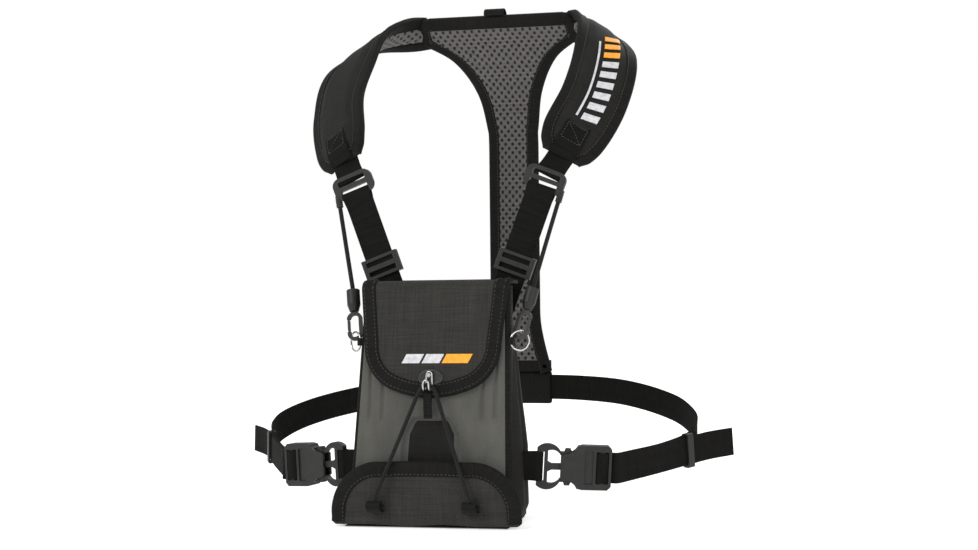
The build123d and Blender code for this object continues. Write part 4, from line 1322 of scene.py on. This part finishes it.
# %% Belt
REAR = ((2, 201.6, -7.5), (36, 198.7, -7.5), (74, 189, -8), (112, 174, -10), (146, 154, -15),
        (176, 128, -22), (194, 102, -30))
TURN = ((201.0, 84, -38.5), (196.5, 66, -48))
FORWARD = ((176, 38.5, -54), (151, 6.6, -56.5), (146.2, -3.9, -56.3), (141.3, -5.5, -56.0))
OUTER = ((141.6, -7.3, -56.0), (146.6, -5.9, -56.3), (152.2, 5.6, -56.5), (176.8, 37.2, -54),
         (200.9, 69.2, -51), (214, 84.2, -49.5), (232, 98, -48))
upright = (0, 0, 1)
for side, sign in SIDES:
    points = mirrored(REAR + TURN + FORWARD, sign)
    run = bent_run(points, [upright] * len(points), sign, 420)
    joint = ("root", "belt_front_" + side,
             (sign * 0.150, 0.150, -0.016), (sign * 0.198, 0.074, -0.046))
    strap("belt_main_" + side, run, 25, 1.5, joint, strap_weave,
          ("belt_rear_webbing_" + side,), 0.35, 5 + sign, 2.2)
    points = mirrored(OUTER, sign)
    run = bent_run(points, [upright] * len(points), sign, 260)
    strap("belt_return_" + side, run, 25, 1.5, "belt_front_" + side, strap_weave,
          ("belt_front_webbing_" + side, "belt_tail_" + side), 0.15, 9 + sign, 1.8)
    print("belt", side, round(run[1], 1), "mm of return")

# %% [markdown]
# The belt passes through a flat sleeve of tape on the yoke's foot. The sleeve is a tube
# with a wall, made as one grid that goes round it, so both its mouths show their thickness.

# %% Sleeves
def sleeve(name, run, wide, high, wall, body, stuff, nodes=(), mouth=0.35):
    """An open flat tube along a drape: wide across, high through, with a rolled mouth."""
    drape, long = run
    rows, turns = max(8, int(long / 1.6)), 72
    t = np.linspace(0, 2 * math.pi, turns, endpoint=False)
    shape = np.stack([np.sign(np.cos(t)) * np.abs(np.cos(t)) ** 0.35,
                      np.sign(np.sin(t)) * np.abs(np.sin(t)) ** 0.6], -1)
    points, flats = [], []
    s = np.linspace(0, long, rows)
    for shrink in (0.0, wall):
        for place in s:
            roll = mouth * wall * (1 - roundness(min(place, long - place), wall))
            grow = -roll if shrink == 0 else -shrink + roll
            x = shape[:, 0] * (wide / 2 + grow)
            h = shape[:, 1] * (high / 2 + grow)
            points.append(drape(x, np.full(turns, place), h))
            flats.append(np.stack([t * wide / 3.2, np.full(turns, place), 0 * t], -1))
    points, flats = np.vstack(points), np.vstack(flats)
    faces = []
    back = rows * turns
    for r in range(rows - 1):
        for k in range(turns):
            a, b = r * turns + k, r * turns + (k + 1) % turns
            faces.append((a, b, b + turns, a + turns))
            faces.append((back + b, back + a, back + a + turns, back + b + turns))
    for base in (0, (rows - 1) * turns):
        for k in range(turns):
            a, b = base + k, base + (k + 1) % turns
            faces.append((a, b, back + b, back + a))
    return make_piece(name, points, faces, flats, body, stuff, nodes)


route = ((-36, 199.2, -8), (-18, 200.6, -8), (0, 201.2, -8), (18, 200.6, -8), (36, 199.2, -8))
sleeve("belt_tunnel", bent_run(route, [upright] * 5, 1.0), 33.5, 8.4, 2.0, "root",
       edge_tape, ("belt_sleeve",))
print("belt tunnel sewn")

# %% [markdown]
# Short webbing tabs join the buckles to the pouch. Each wraps the buckle's bar. A hump of
# belt shows between the two slots of the buckle's other half.

# %% Buckle webbing
BUCKLE_START = np.array([77.5, -23.6, -52.0])
BUCKLE_ALONG = np.array([0.963, 0.262, -0.06]) / np.linalg.norm([0.963, 0.262, -0.06])


def buckle_run(sign, start, end):
    """The buckle's own axis: along runs out from the pouch."""
    points = [tuple(BUCKLE_START + BUCKLE_ALONG * s) for s in (start, (start + end) / 2, end)]
    return bent_run(mirrored(points, sign), [upright] * 3, sign)


for side, sign in SIDES:
    run = buckle_run(sign, -10.5, 14)
    path = ((0, 0.75), (7, 0.9), (12.5, 1.9), (15.5, 3.2), (18.3, 3.2), (19.9, 1.6), (20.2, 0),
            (19.9, -1.6), (18.3, -3.2), (15.5, -3.2), (12.5, -1.9), (7, -0.9), (0, -0.75))
    strap("pouch_tab_" + side, folded(run, path, 240), 23.6, 1.2, "root",
          strap_weave, ("pouch_tab_webbing_" + side,), 0.0, 4, 1.0)
    run = buckle_run(sign, 50, 68)
    path = ((14.8, -5.9), (9.0, -5.9), (4.6, -5.7), (3.9, -3.5), (4.0, 2.0), (4.9, 5.2), (8.5, 6.0),
            (12.1, 5.2), (13.0, 2.0), (13.1, -3.5))
    strap("belt_bar_wrap_" + side, folded(run, path, 120), 24.6, 1.3, "belt_front_" + side,
          strap_weave, (), 0.0, 6, 0.9)
print("buckle webbing folded on both sides")

# %% [markdown]
# The smallest soft pieces are loops of tape: the hang loop on the yoke's crown, the two
# tabs that hold the bungee's ends, its pull tab, and the tabs that hold the split rings.

# %% Small tapes
CROWN_Y = YOKE_BACK - YOKE_RADIUS + YOKE_RADIUS * math.cos(YOKE_TURN)
CROWN_Z = YOKE_BEND_START + YOKE_RADIUS * math.sin(YOKE_TURN)
loop = [(0, CROWN_Y + 5.2 * math.cos(a), CROWN_Z + 5.2 * math.sin(a))
        for a in np.radians(np.linspace(-35, 200, 9))]
strap("hang_loop_tape", bent_run(loop, [(1, 0, 0)] * 9, 1.0), 20, 1.3, "root",
      edge_tape, ("hang_loop",), 0.0, 7, 0.8)
for side, sign in SIDES:
    x = sign * 39.5
    loop = [(x, -56.0, -84.0), (x, -59.5, -84.2), (x, -63.6, -82.4), (x, -65.3, -79.2),
            (x, -64.9, -76.4), (x, -62.6, -75.4), (x, -60.6, -77.2), (x, -58.6, -79.4),
            (x, -56.0, -80.0)]
    strap("bungee_tape_" + side, bent_run(loop, [(1, 0, 0)] * 9, 1.0), 12, 1.2, "lower_flap",
          edge_tape, ("bungee_tab_" + side,), 0.0, 8, 0.7)
loop = [(0, -47.3, 9.0), (0, -47.6, 5.0), (0, -47.9, 0.0), (0, -47.6, -5.0), (0, -47.2, -11.2)]
strap("pull_tab", bent_run(loop, [(1, 0, 0)] * 5, 1.0), 7, 1.4, "bungee", edge_tape,
      ("bungee_pull_tab",), 0.0, 9, 0.7)
for side, sign in SIDES:
    spots = ((60.2, -29.6), (62.2, -28.9), (64.6, -28.9), (66.0, -30.4), (65.7, -32.2),
             (63.9, -32.9), (61.8, -32.0), (60.2, -31.2))
    loop = [(sign * a, b, 50.0) for a, b in spots]
    strap("ring_tape_" + side, bent_run(loop, [upright] * 8, 1.0), 6.2, 1.0, "root",
          edge_tape, ("ring_tab_" + side,), 0.0, 10, 0.6)
print("small tapes done")

# %% [markdown]
# Two soft hinges cover the cloth where it turns: a wide tape over the back of the lid,
# and a tape that runs under the pouch's floor to the lower flap's edge. Both are laid once in
# place and ride on neither the pouch nor the part that swings.

# %% Soft hinges
over_lid = [(0, -0.9, 90.0), (0, -0.8, 95.0), (0, -1.3, 98.2), (0, -2.6, 99.9), (0, -6.0, 100.2),
            (0, -13.0, 100.2)]
strap("lid_hinge_tape", bent_run(over_lid, [(1, 0, 0)] * 6, 1.0), 102, 0.8,
      ("root", "lid", (0, -0.0010, 0.0966), (0, -0.0042, 0.0996)), edge_tape,
      (), 0.0, 11, 0.8)
under_flap = [(0, -38.0, -96.4), (0, -46.0, -96.5), (0, -51.0, -96.6), (0, -54.6, -96.5)]
strap("flap_hinge_tape", bent_run(under_flap, [(1, 0, 0)] * 4, 1.0), 136, 0.8,
      ("root", "lower_flap", (0, -0.0490, -0.0965), (0, -0.0535, -0.0965)),
      edge_tape, (), 0.0, 12, 0.8)
print("soft hinges: one for the lid, one for the lower flap")

# %% [markdown]
# Each tether ends at the ring in a moulded collar with grip ribs. It is turned on a lathe
# in mesh code: a profile spun round the tether's line.

# %% Tether collars
def lathed(name, start, end, profile, body, stuff, turns=40):
    """A profile of (share along, radius) spun round a line."""
    start, end = np.array(start, float), np.array(end, float)
    ahead = (end - start) / np.linalg.norm(end - start)
    beside = np.cross(ahead, (0, 1, 0))
    beside /= np.linalg.norm(beside)
    other = np.cross(ahead, beside)
    points, flats = [], []
    for share, radius in profile:
        for k in range(turns):
            a = 2 * math.pi * k / turns
            points.append(start + (end - start) * share
                          + (beside * math.cos(a) + other * math.sin(a)) * radius)
            flats.append((a * radius, share * 10, 0))
    faces = []
    for r in range(len(profile) - 1):
        for k in range(turns):
            a, b = r * turns + k, r * turns + (k + 1) % turns
            faces.append((a, b, b + turns, a + turns))
    faces.append(list(range(turns))[::-1])
    faces.append([(len(profile) - 1) * turns + k for k in range(turns)])
    return make_piece(name, points, faces, flats, body, stuff)


COLLAR = [(0.0, 1.9), (0.04, 2.5)]
for k in range(5):
    COLLAR += [(0.10 + 0.15 * k, 2.9), (0.155 + 0.15 * k, 2.9), (0.17 + 0.15 * k, 2.5),
               (0.235 + 0.15 * k, 2.5)]
COLLAR += [(0.9, 2.9), (0.97, 2.7), (1.0, 2.0)]
for side, sign in SIDES:
    lathed("tether_collar_" + side, (sign * 96.6, 1.5, 164.2), (sign * 99.2, 3.8, 174.6), COLLAR,
           "root", buckle_plastic)
print("collars:", len(COLLAR), "rings in the profile")

# %% [markdown]
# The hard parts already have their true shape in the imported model, so they only get their
# finishes and a fine bevel that catches the light along their edges.

# %% Hard parts
def finish_node(node, stuff, bevel=0.0):
    """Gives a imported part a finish, and rounds its sharp edges by a bevel in millimetres."""
    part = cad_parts[node]
    if not part.material_slots:
        part.data.materials.append(stuff)
    for spot in part.material_slots:
        spot.material = stuff
    if bevel:
        edge = part.modifiers.new("edge", "BEVEL")
        edge.width = bevel * MM
        edge.segments = 2
        edge.limit_method = "ANGLE"
        edge.angle_limit = math.radians(40)
        edge.harden_normals = True


for side, sign in SIDES:
    for kind, bevel in (("strap_ring", 0.35), ("strap_slider", 0.3), ("belt_keeper", 0.3),
                        ("buckle_male", 0.4), ("buckle_female", 0.4), ("tether_ferrule", 0.0),
                        ("snap_hook", 0.35), ("snap_gate", 0.2)):
        finish_node(kind + "_" + side, buckle_plastic, bevel)
    finish_node("split_ring_" + side, bright_steel)
finish_node("hook_rivet", bright_steel, 0.2)
print("hard parts finished")

# %% [markdown]
# The lace hook is one closed loop of steel wire: an arch held by the rivet, two legs that
# run down the lid and forward under the bungee, and a second arch that keeps it in.

# %% Lace hook
HALF_HOOK = ((0, -43.9, 26.3), (1.6, -43.9, 25.6), (2.3, -44.0, 23.0), (2.4, -44.2, 15.0),
             (2.4, -45.4, 12.2), (2.4, -47.75, 11.2), (2.4, -50.3, 12.2), (2.4, -51.5, 15.0),
             (2.3, -51.6, 17.3), (1.5, -51.6, 19.1), (0, -51.6, 19.8))


def wire(name, line, radius, body, stuff, nodes=(), turns=16):
    """A closed loop of round wire."""
    count = len(line)
    ahead = np.roll(line, -1, 0) - np.roll(line, 1, 0)
    ahead /= np.linalg.norm(ahead, axis=1, keepdims=True)
    side = np.cross(ahead[0], (0.3, 0.2, 1.0))
    points = []
    for k in range(count):
        side = side - ahead[k] * (side @ ahead[k])
        side /= np.linalg.norm(side)
        other = np.cross(ahead[k], side)
        for j in range(turns):
            a = 2 * math.pi * j / turns
            points.append(line[k] + (side * math.cos(a) + other * math.sin(a)) * radius)
    # The last ring meets the first at the nearest turn of its points.
    last, first = np.array(points[-turns:]), np.array(points[:turns])
    twist = int(np.argmin([np.linalg.norm(np.roll(first, -t, 0) - last) for t in range(turns)]))
    faces = []
    for k in range(count):
        shift = twist if k == count - 1 else 0
        for j in range(turns):
            a, b = k * turns + j, k * turns + (j + 1) % turns
            c = (k + 1) % count * turns
            faces.append((a, b, c + (j + 1 + shift) % turns, c + (j + shift) % turns))
    return make_piece(name, points, faces, np.zeros((len(points), 3)), body, stuff, nodes)


half = np.array(HALF_HOOK, float)
ring = through(np.vstack([half, half[-2:0:-1] * np.array([-1, 1, 1]), half[:1]]), 121)[:-1]
wire("lace_hook_wire", ring, 0.72, "lid", bright_steel, ("lace_hook",))
print("lace hook", len(ring), "rings of wire")

# %% [markdown]
# The harness stands on a plain pale floor under a white sky, with three broad soft lights:
# a key from the upper left, a fill from the right and a rim from behind.

# %% Floor and light
FLOOR_REACH = 6
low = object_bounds()[0].z
turns = 96
disc = bpy.data.meshes.new("floor")
disc.from_pydata([(FLOOR_REACH * math.cos(2 * math.pi * k / turns),
                   FLOOR_REACH * math.sin(2 * math.pi * k / turns), low - 0.0006)
                  for k in range(turns)], [], [list(range(turns))])
floor = bpy.data.objects.new("floor", disc)
bpy.context.scene.collection.objects.link(floor)
WHITE = (1.0, 1.0, 1.0, 1.0)
paper, tree, shader = start_finish("paper", Roughness=0.9, Specular_IOR_Level=0.1,
                                   Emission_Strength=0.4, Emission_Color=WHITE)
speck = blotches(tree, object_place(tree), 0.4, 2.0)
plug(tree, shades(tree, speck, (0.3, (0.86, 0.86, 0.86)), (0.7, (0.89, 0.89, 0.89))),
     shader.inputs["Base Color"])
disc.materials.append(paper)

sky = bpy.data.worlds.new("sky")
sky.use_nodes = True
dim = sky.node_tree.nodes["Background"]
dim.inputs["Color"].default_value = WHITE
dim.inputs["Strength"].default_value = 0.72
bright = sky.node_tree.nodes.new("ShaderNodeBackground")
bright.inputs["Strength"].default_value = 1.0
bright.inputs["Color"].default_value = WHITE
seen = sky.node_tree.nodes.new("ShaderNodeLightPath")
choose = sky.node_tree.nodes.new("ShaderNodeMixShader")
links = sky.node_tree.links
links.new(seen.outputs["Is Camera Ray"], choose.inputs[0])
links.new(dim.outputs[0], choose.inputs[1])
links.new(bright.outputs[0], choose.inputs[2])
links.new(choose.outputs[0], sky.node_tree.nodes["World Output"].inputs["Surface"])
bpy.context.scene.world = sky
bpy.context.scene.view_settings.view_transform = "Standard"


def softbox(name, spot, aim, power, size):
    """A square area light at a spot, turned to an aim."""
    lamp = bpy.data.lights.new(name, "AREA")
    lamp.energy, lamp.size = power, size
    light = bpy.data.objects.new(name, lamp)
    light.location = spot
    light.rotation_euler = (Vector(aim) - Vector(spot)).to_track_quat("-Z", "Y").to_euler()
    bpy.context.scene.collection.objects.link(light)


softbox("key", (-0.9, -1.3, 1.2), (0, 0, 0.1), 18, 0.9)
softbox("fill", (1.3, -1.0, 0.5), (0, 0, 0.1), 8, 1.1)
softbox("rim", (0.4, 1.4, 1.3), (0, 0.1, 0.2), 14, 0.9)
print("floor, sky and three lights set")
